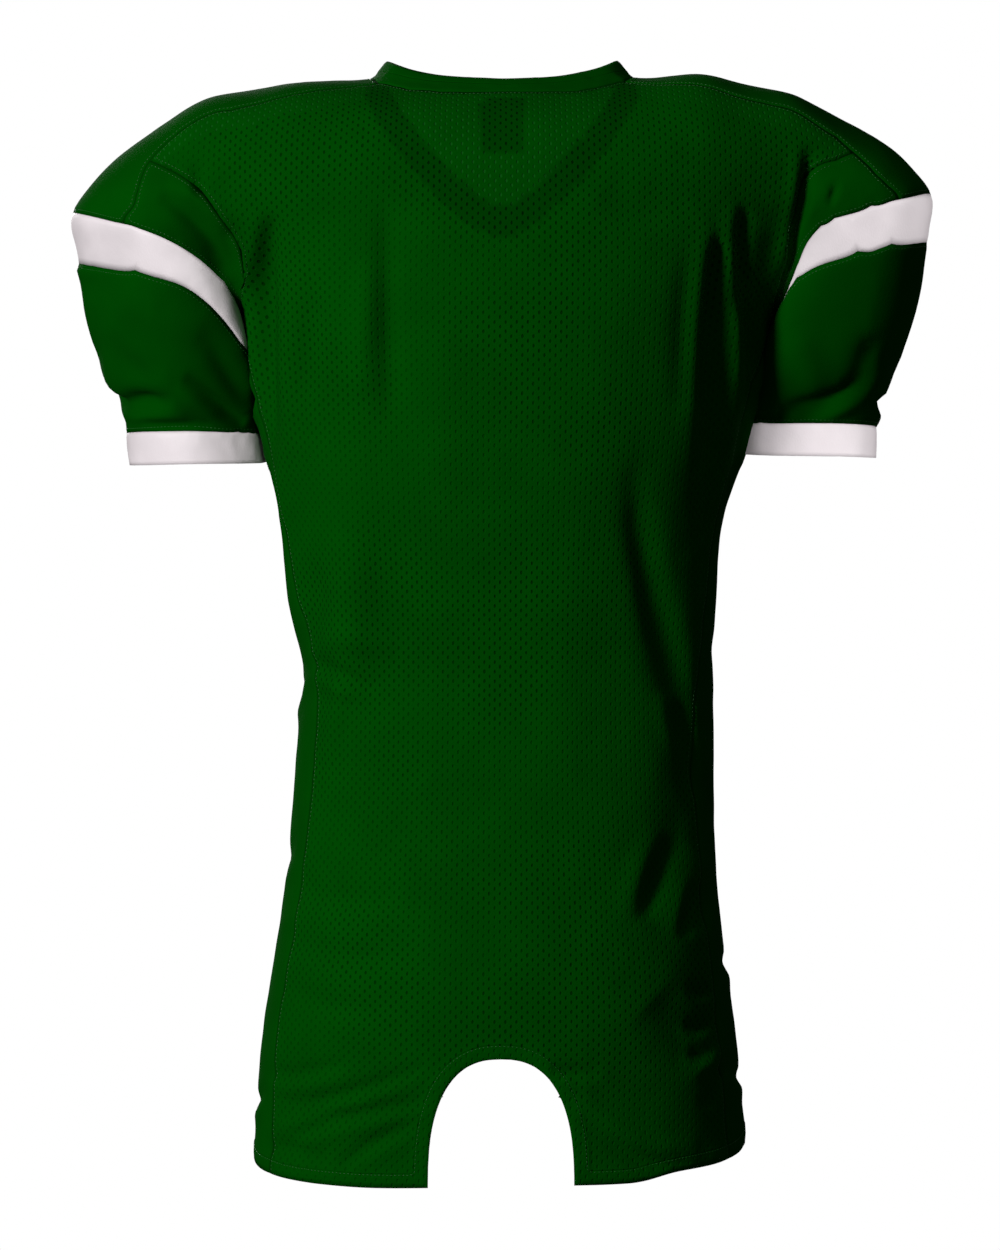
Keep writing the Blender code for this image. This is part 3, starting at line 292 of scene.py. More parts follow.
FRONT_CREASES = (
    (0.172, -0.120, 0.188, -0.190, 0.180, -0.310, 0.007, -0.0065, 0.003),
    (0.160, -0.180, 0.164, -0.280, 0.168, -0.420, 0.008, 0.0035, 0.0),
    (0.120, -0.130, 0.128, -0.200, 0.126, -0.290, 0.009, -0.003, 0.0),
    (0.096, -0.200, 0.100, -0.320, 0.120, -0.440, 0.010, -0.003, 0.002),
    (0.105, -0.350, 0.112, -0.450, 0.124, -0.540, 0.014, 0.0035, 0.0),
    (0.152, -0.468, 0.120, -0.485, 0.080, -0.495, 0.007, -0.003, 0.002),
    (0.150, -0.620, 0.120, -0.640, 0.070, -0.630, 0.010, -0.002, 0.0),
    (0.160, -0.700, 0.115, -0.715, 0.060, -0.700, 0.009, -0.002, 0.0),
    (0.185, -0.790, 0.150, -0.800, 0.085, -0.770, 0.005, -0.0032, 0.0015),
    (0.180, -0.820, 0.140, -0.812, 0.090, -0.800, 0.005, -0.0032, 0.0015),
    (0.150, -0.845, 0.120, -0.828, 0.085, -0.820, 0.005, -0.0028, 0.001),
    (-0.170, -0.140, -0.176, -0.200, -0.176, -0.330, 0.007, -0.006, 0.003),
    (-0.196, -0.120, -0.192, -0.170, -0.198, -0.240, 0.006, -0.0045, 0.002),
    (-0.150, -0.190, -0.146, -0.300, -0.152, -0.400, 0.008, 0.003, 0.0),
    (-0.110, -0.150, -0.106, -0.210, -0.116, -0.290, 0.010, -0.0028, 0.0),
    (-0.100, -0.330, -0.118, -0.410, -0.140, -0.490, 0.009, -0.0038, -0.0025),
    (-0.132, -0.500, -0.146, -0.560, -0.155, -0.600, 0.008, -0.0035, -0.0025),
    (-0.060, -0.260, -0.064, -0.350, -0.058, -0.470, 0.020, 0.0018, 0.0),
    (0.046, -0.300, 0.040, -0.420, 0.048, -0.560, 0.022, 0.0016, 0.0),
    (-0.130, -0.610, -0.118, -0.650, -0.108, -0.690, 0.009, -0.0035, 0.002),
    (-0.152, -0.680, -0.146, -0.720, -0.150, -0.760, 0.007, -0.0035, 0.001),
    (-0.070, -0.790, -0.120, -0.822, -0.165, -0.830, 0.007, 0.0028, 0.0),
    (-0.074, -0.806, -0.120, -0.840, -0.160, -0.842, 0.006, -0.0026, 0.0),
    (-0.176, -0.760, -0.160, -0.775, -0.146, -0.790, 0.005, -0.003, 0.001),
    (0.064, -0.040, 0.040, -0.110, 0.000, -0.145, 0.010, -0.0015, 0.0),
    (0.236, -0.100, 0.240, -0.140, 0.232, -0.190, 0.006, -0.0045, 0.002),
    (0.275, -0.060, 0.262, -0.090, 0.244, -0.120, 0.006, 0.003, 0.0),
    (0.262, -0.225, 0.230, -0.250, 0.205, -0.268, 0.006, -0.0045, 0.002),
    (0.315, -0.220, 0.290, -0.244, 0.255, -0.262, 0.007, -0.0032, 0.001),
    (0.330, -0.170, 0.305, -0.190, 0.280, -0.214, 0.010, -0.0026, 0.0),
    (-0.236, -0.110, -0.232, -0.150, -0.226, -0.200, 0.006, -0.0045, 0.002),
    (-0.216, -0.250, -0.250, -0.252, -0.296, -0.236, 0.006, -0.004, 0.002),
    (-0.226, -0.262, -0.256, -0.262, -0.290, -0.250, 0.005, -0.003, 0.001),
    (-0.318, -0.180, -0.302, -0.210, -0.280, -0.228, 0.010, -0.0028, 0.0),
)
LEFT_CREASES = (
    (0.020, -0.470, 0.000, -0.490, -0.030, -0.480, 0.008, -0.003, 0.0015),
    (-0.030, -0.330, -0.010, -0.400, -0.020, -0.450, 0.010, -0.0028, 0.0),
    (0.045, -0.600, 0.010, -0.620, -0.040, -0.600, 0.010, -0.002, 0.0),
    (0.050, -0.800, 0.000, -0.815, -0.050, -0.800, 0.006, -0.0026, 0.001),
    (0.055, -0.135, 0.020, -0.150, -0.030, -0.140, 0.010, 0.0022, 0.0),
    (0.040, -0.250, 0.000, -0.258, -0.060, -0.245, 0.006, -0.004, 0.002),
    (-0.090, -0.225, -0.050, -0.240, -0.010, -0.262, 0.007, -0.003, 0.001),
    (0.030, -0.180, 0.000, -0.210, -0.040, -0.225, 0.012, -0.0026, 0.0),
)
RIGHT_CREASES = (
    (0.040, -0.440, 0.000, -0.455, -0.035, -0.440, 0.014, -0.0014, 0.0),
    (0.020, -0.540, 0.010, -0.600, 0.025, -0.660, 0.010, -0.0026, 0.0),
    (0.050, -0.690, 0.000, -0.705, -0.050, -0.695, 0.007, -0.0026, 0.001),
    (0.050, -0.780, 0.010, -0.795, -0.045, -0.790, 0.006, -0.0026, 0.001),
    (0.020, -0.246, -0.030, -0.256, -0.080, -0.238, 0.006, -0.004, 0.002),
    (0.050, -0.210, 0.010, -0.228, -0.030, -0.236, 0.008, -0.0028, 0.001),
    (-0.080, -0.180, -0.050, -0.200, -0.030, -0.224, 0.010, -0.0026, 0.0),
)

# The four sides: the axis that runs across, the way that the cloth there faces, and its creases.
SIDES = ((0, 1, BACK_CREASES), (0, -1, FRONT_CREASES), (1, 1, LEFT_CREASES), (1, -1, RIGHT_CREASES))

# Each sheet's cut laid flat: width, length and area, in metres.
FLAT = {
    "back_panel": (0.557, 0.899, 0.3520),
    "front_panel": (0.561, 0.895, 0.3410),
    "side_panel_left": (0.125, 0.700, 0.0771),
    "side_panel_right": (0.126, 0.690, 0.0755),
    "yoke_left": (0.260, 0.215, 0.0456),
    "yoke_right": (0.255, 0.210, 0.0446),
    "upper_sleeve_left": (0.420, 0.075, 0.0121),
    "upper_sleeve_right": (0.440, 0.060, 0.0098),
    "sleeve_stripe_left": (0.595, 0.040, 0.0207),
    "sleeve_stripe_right": (0.600, 0.036, 0.0165),
    "lower_sleeve_left": (0.600, 0.150, 0.0512),
    "lower_sleeve_right": (0.588, 0.150, 0.0593),
    "cuff_left": (0.386, 0.022, 0.0080),
    "cuff_right": (0.407, 0.022, 0.0085),
    "collar": (0.750, 0.024, 0.0168),
    "neck_label": (0.031, 0.055, 0.0017),
}


# Points and meshes.


def ease(t):
    """A soft step from 0 to 1."""
    t = np.clip(t, 0.0, 1.0)
    return t * t * (3 - 2 * t)


def bell(t):
    """A soft bump: 1 at 0, and almost nothing from 2 on."""
    return np.exp(-t ** 2)


def values_of(items, field, columns=1, kind=float):
    """One field of all the items: a number each, or a row of them."""
    values = np.zeros(len(items) * columns, kind)
    items.foreach_get(field, values)
    return values.reshape(-1, columns) if columns > 1 else values


def points_of(mesh):
    """Where a mesh's points are."""
    return values_of(mesh.vertices, "co", 3)


def normals_of(mesh):
    """Which way a mesh looks at each of its points."""
    return values_of(mesh.vertices, "normal", 3)


def distances(points, line):
    """How far each point is from the nearest point of a line."""
    tree = kdtree.KDTree(len(line))
    for number, place in enumerate(line):
        tree.insert(place, number)
    tree.balance()
    return np.array([tree.find(place)[2] for place in points])


def noise_at(points, size):
    """Smooth noise from about -1 to 1, the same each run, whose lumps are about so large."""
    return np.array([noise.noise(Vector(place)) for place in points / size])


def opened(mesh):
    """The mesh as a form that can be worked on."""
    form = bmesh.new()
    form.from_mesh(mesh)
    return form


def mesh_from(form, name):
    """A mesh with the form that was worked on, which is freed."""
    mesh = bpy.data.meshes.new(name)
    form.to_mesh(mesh)
    form.free()
    return mesh


def in_scene(name, data):
    """A new object in the scene."""
    thing = bpy.data.objects.new(name, data)
    SCENE.collection.objects.link(thing)
    return thing


# The solids' outer side, sewn together.


def out_of_hollow(name, place):
    """A direction out of the hollow that a node's wall is round, at one of its points."""
    if name.startswith("yoke"):
        return Vector((YOKE_ACROSS * place.x, place.y, place.z - YOKE_MIDDLE))
    if name.startswith(SLEEVE_PIECES):
        middle = math.copysign(SLEEVE_MIDDLE[0], place.x)
        return Vector((place.x - middle, place.y - SLEEVE_MIDDLE[1], 0.0))
    return Vector((place.x, place.y, 0.0))


def groups_of(faces):
    """The faces in groups that hang together without a sharp fold."""
    left = set(faces)
    while left:
        group, front = set(), [left.pop()]
        while front:
            face = front.pop()
            group.add(face)
            for edge in face.edges:
                if len(edge.link_faces) == 2 and edge.calc_face_angle(0.0) < FOLD_ANGLE:
                    near = set(edge.link_faces) & left
                    left -= near
                    front.extend(near)
        yield group


def rim_faces(solid, wall):
    """The narrow faces along a wall's edges, between its outer and its inner side."""
    tree = BVHTree.FromBMesh(solid)
    rims = set()
    for face in solid.faces:
        depth = tree.ray_cast(face.calc_center_median() - face.normal * WELD, -face.normal)[3]
        if depth is None or depth > RIM_WALLS * wall:
            rims.add(face)
    for edge in solid.edges:
        one, other = edge.verts
        through = one.co - other.co
        if abs(through.length / wall - 1) < RIM_LENGTH:
            through.normalize()
            outward = max(face.normal.dot(through) for face in one.link_faces)
            inward = max(-face.normal.dot(through) for face in other.link_faces)
            if min(outward, inward) > RIM_FACING:
                rims.update(edge.link_faces)
    return rims


def outer_side(node):
    """The outer side of a node's wall as quads: its rims and its inner side are taken away."""
    solid = opened(node.data)
    bmesh.ops.remove_doubles(solid, verts=solid.verts, dist=WELD)
    rims = rim_faces(solid, BAND_WALL if node.name == "collar" else WALL)
    bmesh.ops.delete(solid, geom=list(rims), context="FACES")
    groups = list(groups_of(solid.faces))
    few = max(len(group) for group in groups) // SCRAP
    unwanted = []
    for group in groups:
        outward = sum(face.calc_area() * face.normal.dot(out_of_hollow(node.name, face.calc_center_median()))
                      for face in group)
        if outward < 0 or len(group) < few:
            unwanted.extend(group)
    bmesh.ops.delete(solid, geom=unwanted, context="FACES")
    bmesh.ops.join_triangles(solid, faces=solid.faces[:], angle_face_threshold=math.pi / 2,
                             angle_shape_threshold=math.pi)
    return mesh_from(solid, node.name + "_side")


def add_weave_map(side, facing):
    """A panel's UV map in metres: its columns run up the cloth and its rows across it.

    Each edge asks for the steps that it takes across and up; the map is the best fit to them all.
    """
    points, normals = points_of(side), normals_of(side)
    start, end = values_of(side.edges, "vertices", 2, int).T
    level = np.column_stack((normals[:, 1], -normals[:, 0], np.zeros(len(points)))) * facing
    straight = np.array((1.0, 0.0, 0.0)) - normals * normals[:, :1]
    across = level + WEAVE_STRAIGHT * straight * normals[:, 2:] ** 2
    across /= np.linalg.norm(across, axis=1)[:, None]
    upward = np.cross(normals, across) * facing
    if upward[:, 2].mean() < 0:
        upward = -upward
    step = points[end] - points[start]
    fit = np.full((len(points), len(points)), 1.0 / len(points))
    for one, other, sign in ((start, start, 1.0), (end, end, 1.0), (start, end, -1.0), (end, start, -1.0)):
        np.add.at(fit, (one, other), sign)
    flat = []
    for way in (across, upward):
        wanted = (step * (way[start] + way[end]) / 2).sum(1)
        pull = np.zeros(len(points))
        np.add.at(pull, end, wanted)
        np.add.at(pull, start, -wanted)
        flat.append(np.linalg.solve(fit, pull))
    corner = values_of(side.loops, "vertex_index", kind=int)
    weave = side.uv_layers.new(name="weave")
    weave.data.foreach_set("uv", np.column_stack(flat)[corner].ravel())


def sewn_together():
    """All the sewn pieces as one mesh, whose faces keep the number of their piece."""
    cloth = bmesh.new()
    for number, name in enumerate(NAMES):
        side = outer_side(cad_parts[name])
        if name in MESH_PIECES:
            add_weave_map(side, 1 if name == "back_panel" else -1)
        first = len(cloth.faces)
        cloth.from_mesh(side)
        cloth.faces.ensure_lookup_table()
        for face in cloth.faces[first:]:
            face.material_index = number
    bmesh.ops.remove_doubles(cloth, verts=cloth.verts, dist=LINK)
    mesh = mesh_from(cloth, "cloth")
    for _ in NAMES:
        mesh.materials.append(None)
    return mesh


def even_stripes(mesh):
    """Takes the kinks out of the stripes' seams: their corners slide along the cloth, not off it."""
    stripes = {number for number, name in enumerate(NAMES) if name.startswith("sleeve_stripe")}
    sides, beside = {}, {}
    for face in mesh.polygons:
        for edge in face.edge_keys:
            sides.setdefault(edge, set()).add(face.material_index)
    for (first, last), numbers in sides.items():
        if len(numbers) == 2 and numbers & stripes:
            beside.setdefault(first, []).append(last)
            beside.setdefault(last, []).append(first)
    corners = [corner for corner, others in beside.items() if len(others) == 2]
    others = np.array([beside[corner] for corner in corners])
    points, normals = points_of(mesh), normals_of(mesh)
    for _ in range(STRIPE_ROUNDS):
        step = (points[others].mean(1) - points[corners]) / 2
        along = (step * normals[corners]).sum(1)
        points[corners] += step - normals[corners] * along[:, None]
    mesh.vertices.foreach_set("co", points.ravel())
    mesh.update()


def subdivided(mesh):
    """The mesh with each face in four, smoothed."""
    piece = in_scene("form", mesh)
    smoother = piece.modifiers.new("Smooth", "SUBSURF")
    smoother.levels = smoother.render_levels = 1
    smoother.boundary_smooth = "PRESERVE_CORNERS"
    graph = bpy.context.evaluated_depsgraph_get()
    finer = bpy.data.meshes.new_from_object(piece.evaluated_get(graph), preserve_all_data_layers=True,
                                            depsgraph=graph)
    bpy.data.objects.remove(piece)
    return finer


def halve_long_rows(mesh):
    """Splits the trunk's tall faces across, so that a crease that runs across them can show."""
    trunk = [number for number, name in enumerate(NAMES) if "panel" in name]
    cloth = opened(mesh)
    tall = []
    for edge in cloth.edges:
        low = max(end.co.z for end in edge.verts) < LONG_ROW
        upright = abs(edge.verts[0].co.z - edge.verts[1].co.z) > UPRIGHT * edge.calc_length()
        if low and upright and all(face.material_index in trunk for face in edge.link_faces):
            tall.append(edge)
    bmesh.ops.subdivide_edges(cloth, edges=tall, cuts=1, use_grid_fill=True)
    cloth.to_mesh(mesh)
    cloth.free()


# Creases, slack, seams and hems.


def edge_samples(mesh):
    """Points along the seams between pieces, and along the free edges."""
    finished = [name.startswith(FINISHED_PIECES) for name in NAMES]
    cloth = opened(mesh)
    seams, free = [], []
    for edge in cloth.edges:
        faces = edge.link_faces
        if len(faces) == 1:
            if edge.verts[0].co.z > HEM_TOP and not finished[faces[0].material_index]:
                continue
            line = free
        elif len({face.material_index for face in faces}) > 1:
            line = seams
        else:
            continue
        start, end = (vertex.co.copy() for vertex in edge.verts)
        line.extend(start.lerp(end, part) for part in EDGE_PARTS)
    cloth.free()
    return seams, free


def curve_through(bends):
    """Points along a curve through three places."""
    t = np.linspace(0.0, 1.0, CREASE_POINTS)[:, None]
    pull = 2 * bends[1] - (bends[0] + bends[2]) / 2
    return (1 - t) ** 2 * bends[0] + 2 * t * (1 - t) * pull + t * t * bends[2]


def beside_line(places, line):
    """How far each place is beside a line, above 0 on its left, and how far along it, from 0 to 1."""
    start, run = line[:-1], np.diff(line, axis=0)
    away = places[:, None] - start
    along = np.clip((away * run).sum(2) / (run ** 2).sum(1), 0.0, 1.0)
    offset = away - along[..., None] * run
    closest = (offset ** 2).sum(2).argmin(1)
    pick = np.arange(len(closest))
    step = offset[pick, closest]
    side = np.sign(run[closest, 0] * step[:, 1] - run[closest, 1] * step[:, 0])
    return side * np.linalg.norm(step, axis=1), (closest + along[pick, closest]) / len(run)


def crease_height(points, normals):
    """How far the main creases lift or sink the cloth at each point."""
    height = np.zeros(len(points))
    for axis, way, creases in SIDES:
        here = points[:, (axis, 2)]
        facing = normals[:, 1 - axis] * way
        if axis == 1:
            facing = facing * (points[:, 0] * way > 0)
        for *places, width, rise, ridge in creases:
            bends = np.reshape(places, (3, 2))
            reach = CREASE_REACH * width
            near = (here > bends.min(0) - reach).all(1) & (here < bends.max(0) + reach).all(1)
            near &= facing > LEAST_FACING
            aside, along = beside_line(here[near], curve_through(bends))
            aside /= width
            ridge_aside = (aside - RIDGE_AWAY * np.sign(ridge)) / RIDGE_WIDTH
            form = rise * bell(aside) + abs(ridge) * bell(ridge_aside)
            taper = np.sin(np.pi * along) ** CREASE_TAPER
            height[near] += form * taper * ease(facing[near] / FULL_FACING)
    return height * CREASE_DEPTH


def white_share(mesh):
    """1 at the points of the stripes and cuffs, which lie smoother than the rest, and 0 elsewhere."""
    white = [name.startswith(WHITE_PIECES) for name in NAMES]
    share = np.zeros(len(mesh.vertices))
    for face in mesh.polygons:
        if white[face.material_index]:
            share[list(face.vertices)] = 1.0
    return share


def neck_light_and_shade(points, normals):
    """Where the back's mesh gets painted light and shade of what lies behind it: 1 for the open neck's
    light, and 1 for the neck band's or the label's shade.
    """
    open_neck, backed = np.zeros(len(points)), np.zeros(len(points))
    trees = {}
    for name in ("front_panel", "collar", "neck_label"):
        solid = opened(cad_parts[name].data)
        trees[name] = BVHTree.FromBMesh(solid)
        solid.free()
    through = Vector(THROUGH_NECK).normalized()
    for i in np.flatnonzero((normals[:, 1] > THROUGH_FACING) & (points[:, 2] > THROUGH_LOW)):
        label = trees["neck_label"].ray_cast(Vector(points[i]), -Vector(normals[i]), LABEL_NEAR)[0]
        place = Vector(points[i]) + through * THROUGH_START
        band = trees["collar"].ray_cast(place, through)[0]
        front = trees["front_panel"].ray_cast(place, through)[0]
        backed[i] = label is not None or band is not None
        open_neck[i] = band is None and front is None and label is None
    return open_neck, backed


def dress(mesh):
    """Moves the smooth cloth out or in: creases, slack, seams, puckers and turned hems.

    What the materials and the stitches need to know of each point is kept on the mesh, also where the back's
    mesh gets painted light from the open neck and painted shade from the neck band or the label.
    """
    points, normals = points_of(mesh), normals_of(mesh)
    seams, free = edge_samples(mesh)
    from_seam, from_edge = distances(points, seams), distances(points, free)
    white = white_share(mesh)
    move = crease_height(points, normals) * ease(FADE_LEFT + from_edge / FADE) * (1 - WHITE_FLATTER * white)
    for middle, reach, height in SWELLS:
        move += height * np.exp(-(((points - middle) / reach) ** 2).sum(1))
    for height, size, width in SLACK:
        move += height * noise_at(points * (1.0, 1.0, width), size)
    move -= SEAM_DIP * bell(from_seam / SEAM_REACH)
    ripple = noise_at(points + PUCKER_SHIFT, PUCKER_SIZE)
    move += PUCKER * ripple * bell(from_seam / PUCKER_REACH)
    move += PUCKER * ripple * bell((from_edge - HEM) / HEM_PUCKER_REACH)
    turned = (1 - ease((from_edge - HEM) / HEM_FALL)) * ease(from_edge / HEM_ROUND)
    move += HEM_RISE * turned * (1 - WHITE_HEM_FLATTER * white)
    places = points + normals * move[:, None]
    in_front = ease((CUFF_BEHIND - points[:, 1]) / CUFF_SPAN)
    cuff_edge = white * (1 - ease(from_edge / CUFF))
    places[:, 2] += cuff_edge * ((CUFF_UP + CUFF_DOWN) * in_front - CUFF_DOWN)
    mesh.vertices.foreach_set("co", places.ravel())
    # Masks for the painted light of the open neck and the painted shade of the neck band or the label behind
    # the back's mesh.
    open_neck, backed = neck_light_and_shade(points, normals)
    kept = {"seam": from_seam, "edge": from_edge, "open_neck": open_neck, "backed": backed}
    for name, values in kept.items():
        mesh.attributes.new(name, "FLOAT", "POINT").data.foreach_set("value", values)
    mesh.update()


def cut_out(cloth, number, name):
    """One piece of the sewn cloth as a mesh of its own, with its maps."""
    piece = opened(cloth)
    others = [face for face in piece.faces if face.material_index != number]
    bmesh.ops.delete(piece, geom=others, context="FACES")
    for face in piece.faces:
        face.material_index = 0
        face.smooth = True
    return mesh_from(piece, name)


def give_thickness(piece, wall):
    """Makes a sheet so thick, inward from its outer side."""
    shell = piece.modifiers.new("Thickness", "SOLIDIFY")
    shell.thickness = wall
    shell.offset = -1.0
    shell.use_rim = True


def label_sheet():
    """The blank label: its own solid as one closed sheet."""
    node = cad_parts["neck_label"]
    sheet = opened(node.data)
    sheet.transform(node.matrix_world)
    bmesh.ops.remove_doubles(sheet, verts=sheet.verts, dist=WELD)
    mesh = mesh_from(sheet, "neck_label_cloth")
    mesh.shade_smooth()
    mesh.set_sharp_from_angle(angle=FOLD_ANGLE)
    return in_scene("neck_label_cloth", mesh)


# Stitches.


def level_lines(mesh, name, level):
    """The lines on a mesh along which a named value has one level, as points and outward normals."""
    values = values_of(mesh.attributes[name].data, "value")
    points, normals = points_of(mesh), normals_of(mesh)
    links, places = {}, {}
    for face in mesh.polygons:
        corners = list(face.vertices)
        crossed = []
        for one, other in zip(corners, corners[1:] + corners[:1]):
            if (values[one] - level) * (values[other] - level) < 0:
                low, high = min(one, other), max(one, other)
                part = (level - values[low]) / (values[high] - values[low])
                places[low, high] = (points[low] + (points[high] - points[low]) * part,
                                     normals[low] + (normals[high] - normals[low]) * part)
                crossed.append((low, high))
        if len(crossed) == 2:
            links.setdefault(crossed[0], []).append(crossed[1])
            links.setdefault(crossed[1], []).append(crossed[0])
    lines = []
    while links:
        start = next((key for key in links if len(links[key]) == 1), next(iter(links)))
        line, key = [], start
        while key is not None:
            line.append(places[key])
            near = [other for other in links.pop(key) if other in links]
            key = near[0] if near else None
        lines.append(line)
    return lines


def stitches_along(lines):
    """The middle, direction and normal of each stitch along the lines."""
    for line in lines:
        points = np.array([place for place, _ in line])
        normals = np.array([normal for _, normal in line])
        way = np.concatenate(((0.0,), np.cumsum(np.linalg.norm(np.diff(points, axis=0), axis=1))))
        for at in np.arange(STITCH_PITCH / 2, way[-1] - STITCH_PITCH / 2, STITCH_PITCH):
            ends = [np.array([np.interp(at + shift, way, points[:, i]) for i in range(3)])
                    for shift in (-STITCH / 2, STITCH / 2)]
            normal = np.array([np.interp(at, way, normals[:, i]) for i in range(3)])
            along = ends[1] - ends[0]
            size = np.linalg.norm(along)
            if size > STITCH / 2:
                yield (ends[0] + ends[1]) / 2, along / size, normal / np.linalg.norm(normal)


def sew(name, lines, material):
    """Stitches along the lines: each is a short low bead, pointed where it enters the cloth."""
    turns = [2 * math.pi * side / STITCH_SIDES for side in range(STITCH_SIDES)]
    points, faces = [], []
    for middle, along, up in stitches_along(lines):
        across = np.cross(along, up)
        tip = len(points)
        for reach, fullness in STITCH_RINGS:
            centre = middle + along * reach * STITCH - up * (1 - fullness) * STITCH_HALF
            if fullness == 0:
                points.append(centre)
            else:
                points.extend(centre + STITCH_HALF * (across * math.cos(turn) + up * math.sin(turn))
                              for turn in turns)
        near = tip + 1
        far = near + STITCH_SIDES
        last = far + STITCH_SIDES
        for i in range(STITCH_SIDES):
            j = (i + 1) % STITCH_SIDES
            faces.append((tip, near + j, near + i))
            faces.append((near + i, near + j, far + j, far + i))
            faces.append((last, far + i, far + j))
    mesh = bpy.data.meshes.new(name)
    mesh.from_pydata([tuple(point) for point in points], [], faces)
    mesh.shade_smooth()
    mesh.materials.append(material)
    return in_scene(name, mesh)


def stitch_lines(name, mesh):
    """Where a piece is stitched: along its turned hem, and beside its seams."""
    lines = []
    if name.startswith(HEMMED_PIECES):
        lines += level_lines(mesh, "edge", HEM_STITCH)
    if name.startswith(TOPSTITCHED_PIECES):
        lines += level_lines(mesh, "seam", SEAM_STITCH)
    return lines


# Materials.


class Nodes:
    """A material's node tree, with short ways to add nodes and link them."""

    def __init__(self, name):
        self.material = bpy.data.materials.new(name)
        self.material.use_nodes = True
        self.tree = self.material.node_tree
        self.shader = self.tree.nodes["Principled BSDF"]

    def node(self, kind, **settings):
        """A new node with these settings."""
        node = self.tree.nodes.new(kind)
        for key, value in settings.items():
            setattr(node, key, value)
        return node

    def join(self, source, target):
        """Links an output to an input."""
        self.tree.links.new(source, target)

    def fill(self, sockets, values):
        """Gives each input its value, which is a number, a colour or another node's output."""
        for socket, value in zip(sockets, values):
            if isinstance(value, (int, float, tuple)):
                socket.default_value = value
            else:
                self.join(value, socket)

    def math(self, operation, *values):
        """The result of an operation on the values."""
        node = self.node("ShaderNodeMath", operation=operation)
        self.fill(node.inputs, values)
        return node.outputs[0]

    def blend(self, share, one, other):
        """Colour from one to the other."""
        node = self.node("ShaderNodeMix", data_type="RGBA")
        self.fill((node.inputs[0], node.inputs[6], node.inputs[7]), (share, one, other))
        return node.outputs[2]

    def noise(self, size, detail=1.0, stretch=(1.0, 1.0, 1.0)):
        """Noise on the cloth, with lumps of about that size in metres."""
        place = self.node("ShaderNodeTexCoord")
        scale = self.node("ShaderNodeVectorMath", operation="MULTIPLY")
        scale.inputs[1].default_value = tuple(part / size for part in stretch)
        self.join(place.outputs["Object"], scale.inputs[0])
        node = self.node("ShaderNodeTexNoise")
        node.inputs["Scale"].default_value = 1.0
        node.inputs["Detail"].default_value = detail
        self.join(scale.outputs[0], node.inputs["Vector"])
        return node.outputs["Fac"]

    def span(self, value, low, high, start=0.0, end=1.0):
        """The value's soft step between low and high, as a number from start to end."""
        node = self.node("ShaderNodeMapRange", interpolation_type="SMOOTHSTEP")
        self.fill(node.inputs[:5], (value, low, high, start, end))
        return node.outputs[0]

    def kept(self, name):
        """A value that dress() keeps on the mesh."""
        return self.node("ShaderNodeAttribute", attribute_name=name).outputs["Fac"]

    def raise_by(self, height, depth, below=None):
        """A bump, in metres, on top of the one below."""
        bump = self.node("ShaderNodeBump")
        bump.inputs["Distance"].default_value = depth
        self.join(height, bump.inputs["Height"])
        if below is not None:
            self.join(below, bump.inputs["Normal"])
        return bump.outputs["Normal"]

    def finish(self, tint, normal):
        """The material, with its colour and its bumps."""
        self.join(tint, self.shader.inputs["Base Color"])
        self.join(normal, self.shader.inputs["Normal"])
        return self.material


def darkened(colour, share):
    """The colour with so much of its light."""
    return tuple(part * share for part in colour[:3]) + (1.0,)


def cloth_material(name, colour, roughness, shine, turned=True):
    """Knitted cloth: fine loops, slight random changes of tone, painted shade along each seam's groove, a
    groove at a hem.

    It comes as its nodes, its colour and its bumps, which a mesh adds to.
    """
    cloth = Nodes(name)
    cloth.shader.inputs["Specular IOR Level"].default_value = shine
    loops = cloth.noise(LOOP, stretch=(1.0, 1.0, 0.5))
    shade = cloth.span(cloth.noise(SHADE_PATCH, detail=3.0), *SHADE_SPREAD)
    tint = cloth.blend(shade, darkened(colour, DARKER), colour)
    # Painted shade along each seam's groove: the cloth is darker near the seam.
    seam = cloth.span(cloth.kept("seam"), 0.0, SEAM_SHADE_REACH, SEAM_SHADE_SHARE, 0.0)
    tint = cloth.blend(seam, tint, darkened(colour, SEAM_SHADE_DARKER))
    rough = cloth.math("MULTIPLY_ADD", loops, LOOP_ROUGHNESS, roughness - LOOP_ROUGHNESS / 2)
    cloth.join(rough, cloth.shader.inputs["Roughness"])
    normal = cloth.raise_by(loops, LOOP_DEPTH)
    if turned:
        from_fold = cloth.math("ABSOLUTE", cloth.math("SUBTRACT", cloth.kept("edge"), HEM))
        normal = cloth.raise_by(cloth.span(from_fold, 0.0, GROOVE), GROOVE_DEPTH, normal)
    return cloth, tint, normal


def plain_cloth(name, colour, roughness, shine, turned=True):
    """Smooth cloth without holes."""
    cloth, tint, normal = cloth_material(name, colour, roughness, shine, turned)
    return cloth.finish(tint, normal)


def from_slit(cloth):
    """How far a point of the mesh is from the middle of its slit, in halves of a slit."""
    weave = cloth.node("ShaderNodeSeparateXYZ")
    cloth.join(cloth.node("ShaderNodeUVMap", uv_map="weave").outputs[0], weave.inputs[0])
    column = cloth.math("DIVIDE", weave.outputs[0], HOLE_COLUMNS)
    every_other = cloth.math("FLOORED_MODULO", cloth.math("FLOOR", column), 2.0)
    row = cloth.math("ADD", cloth.math("DIVIDE", weave.outputs[1], HOLE_PITCH),
                     cloth.math("MULTIPLY", every_other, 0.5))
    squares = []
    for place, pitch, half in ((column, HOLE_COLUMNS, HOLE_HALF[0]), (row, HOLE_PITCH, HOLE_HALF[1])):
        away = cloth.math("SUBTRACT", cloth.math("FRACT", place), 0.5)
        squares.append(cloth.math("POWER", cloth.math("MULTIPLY", away, pitch / half), 2.0))
    return cloth.math("SQRT", cloth.math("ADD", *squares))


